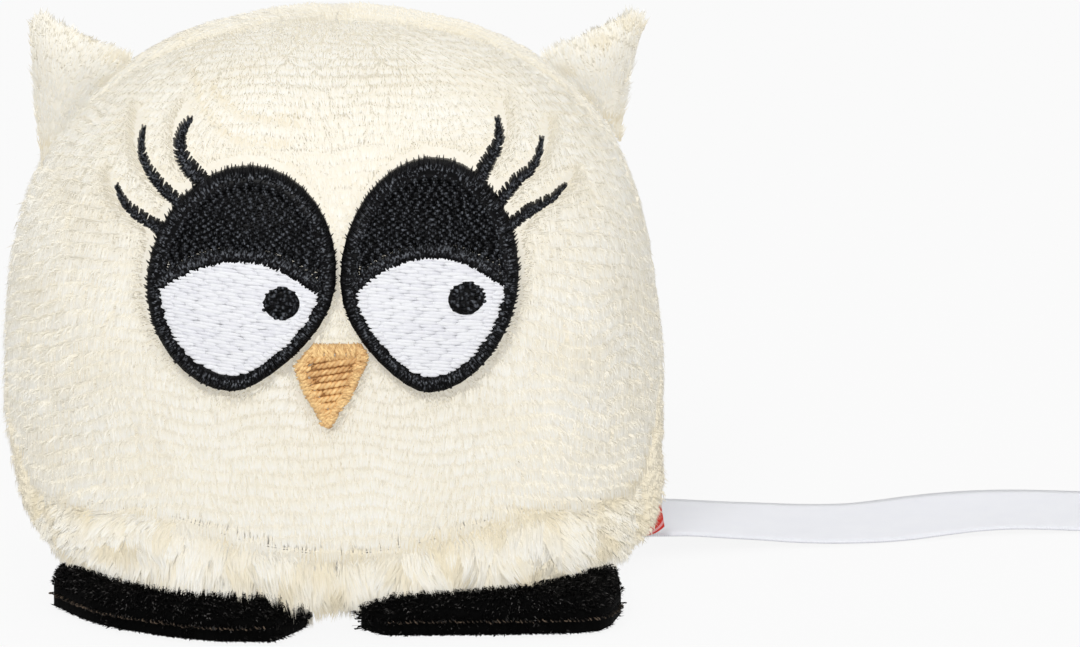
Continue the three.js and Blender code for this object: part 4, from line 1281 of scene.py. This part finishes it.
def grow_foot(side, layer, seed):
    rng = np.random.default_rng(seed)
    node = f"foot_{side}_{layer}"
    body = f"foot_{side}"
    facing = 1 if layer == "upper" else -1
    points, faces = refined(node)
    points[:, 2] -= facing * 0.16 * by_rim_seam(points, facing)
    piece = make_piece(f"{node}_cloth", points, faces, black_ground, body, [node])
    corners, face_normals = faces_towards(points[faces], 2, facing, -0.25)
    roots, pick = scatter(corners, 15 if facing > 0 else 9, rng)
    normals = face_normals[pick]
    middle = points.mean(axis=0)
    rim = fade(-np.abs(normals[:, 2]), -0.85, -0.3)
    near_seam = rim * by_rim_seam(roots, facing)
    tufts = tuft_centres(roots, corners, 1.4, rng)
    way = unit((roots - middle) * (1, 1, 0)) + rng.normal(0, 0.35, roots.shape)
    way[:, 2] -= facing * 1.6 * near_seam
    if facing < 0:
        way[:, 2] -= 0.8 * rim * (1 - near_seam)
    leans = tangential(unit(way), normals) * rng.uniform(0.3, 0.7, len(roots))[:, None]
    leans = leans * (1 - 0.5 * rim * (1 - near_seam))[:, None]
    leans = leans + tangential(tufts - roots, normals) * (0.5 * rim)[:, None]
    longer = 0.5 + 0.8 * drift(tufts, 0.9, seed + 3)
    heights = rng.uniform(0.35, 0.6, len(roots)) * (1 + rim * longer)
    heights = heights * (1 - 0.5 * rim * fade(np.abs(roots[:, 0]), 23, 28))
    if facing < 0:
        heights = np.where(normals[:, 2] < -0.9, heights * 0.4, heights)
    tones = rng.beta(0.25, 2.6, len(roots)) * (1 + 0.5 * drift(roots, 1.5, seed + 1))
    widths = rng.uniform(0.14, 0.22, len(roots))
    roots = roots - normals * (0.1 + 0.5 * rim)[:, None]
    grow_pile(f"{node}_pile", roots, normals, leans, heights, widths, tones, black_pile, body,
              "black_plush", [node], seed + 2, shadow=True)


def stitch_rim(side, seed):
    rng = np.random.default_rng(seed)
    node = f"foot_{side}_stitching"
    points, _ = node_points(node)
    middle = node_points(f"foot_{side}_upper")[0].mean(axis=0)
    turn = np.arctan2(points[:, 1] - middle[1], points[:, 0] - middle[0])
    order = np.argsort(np.where(turn > math.pi / 2, turn - 2 * math.pi, turn))
    bins = np.array_split(points[order], 26)
    route = np.array([part.mean(axis=0) for part in bins])
    length = np.linalg.norm(np.diff(route, axis=0), axis=1).sum()
    line = smooth_route(route, int(length / 0.1))[0]
    run = unit(np.gradient(line, axis=0))
    outward = unit(np.cross(run, (0, 0, 1)))
    outward = outward * np.sign(np.sum(outward * (line - middle), axis=1, keepdims=True))
    paths, normals = [], []
    t = np.linspace(0, 1, 7)
    for at in np.arange(2, len(line) - 9, 4.6):
        here = int(at)
        there = here + int(rng.integers(2, 6))
        start = line[here] + (0, 0, rng.uniform(0.0, 0.25)) - outward[here] * 0.2
        end = line[there] + (0, 0, -rng.uniform(0.0, 0.25)) - outward[there] * 0.2
        bulge = outward[here] * (rng.uniform(0.3, 0.55) * np.sin(math.pi * t) ** 0.6)[:, None]
        paths.append(start + (end - start) * t[:, None] + bulge)
        normals.append(np.broadcast_to(outward[here], (7, 3)))
    tones = np.clip(rng.beta(0.35, 2.0, len(paths)), 0.02, 0.98)
    sew_threads(f"{node}_thread", np.array(paths), np.array(normals), 0.15, 0.16, tones, mottled_thread,
                f"foot_{side}", [node])


for number, side in enumerate(("left", "right")):
    grow_foot(side, "upper", 500 + 20 * number)
    grow_foot(side, "sole", 510 + 20 * number)
    stitch_rim(side, 540 + number)


# The label
# A folded tab of red woven tape, upright in the side seam just before the ribbon, with a pale band
# along its rounded edge.
band_centre, band_radius, band_half_width = (32.34, 0.63, 5.57), 2.42, 0.12


def label_finish():
    made, nodes, links = new_material("red_label_cloth")
    shader = nodes["Principled BSDF"]
    weave = group_node(nodes, woven, Warp=0.28, Weft=0.28, Wear=0.2)
    place = in_millimetres(nodes, links)
    turned = nodes.new("ShaderNodeMapping")
    turned.inputs["Rotation"].default_value = (math.pi / 2, 0, 0)
    links.new(place, turned.inputs["Vector"])
    links.new(turned.outputs[0], weave.inputs["Vector"])
    red = colour_between(nodes, links, weave.outputs["Fade"], (0.60, 0.012, 0.004), (0.75, 0.03, 0.012))
    centre = nodes.new("ShaderNodeVectorMath")
    centre.operation = "DISTANCE"
    centre.inputs[1].default_value = band_centre
    links.new(place, centre.inputs[0])
    band = calculate(nodes, links, "COMPARE", centre.outputs["Value"], band_radius, band_half_width)
    banded = colour_between(nodes, links, band, red, (0.86, 0.36, 0.37))
    links.new(banded, shader.inputs["Base Color"])
    raise_surface(nodes, links, weave.outputs["Height"], 0.04)
    shader.inputs["Roughness"].default_value = 0.7
    return made


def sew_label():
    points, faces = refined("side_label", cuts=3)
    low, high = points.min(axis=0), points.max(axis=0)
    reach = (points[:, 0] - low[0]) / (high[0] - low[0])
    rise = (points[:, 2] - low[2]) / (high[2] - low[2])
    points[:, 2] += 1.0 * np.clip((reach - 0.4) / 0.6, 0, 1) ** 2 * (1 - rise) - 0.4
    points[:, 0] -= reach * (0.6 * rise + 0.2 * (1 - rise))
    middle = (low[1] + high[1]) / 2
    edge = fade(reach, 0.8, 1.0)
    points[:, 1] = middle + (points[:, 1] - middle) * (1 - 0.45 * edge)
    make_piece("side_label_tape", points, faces, label_finish(), "label", ["side_label"])


sew_label()
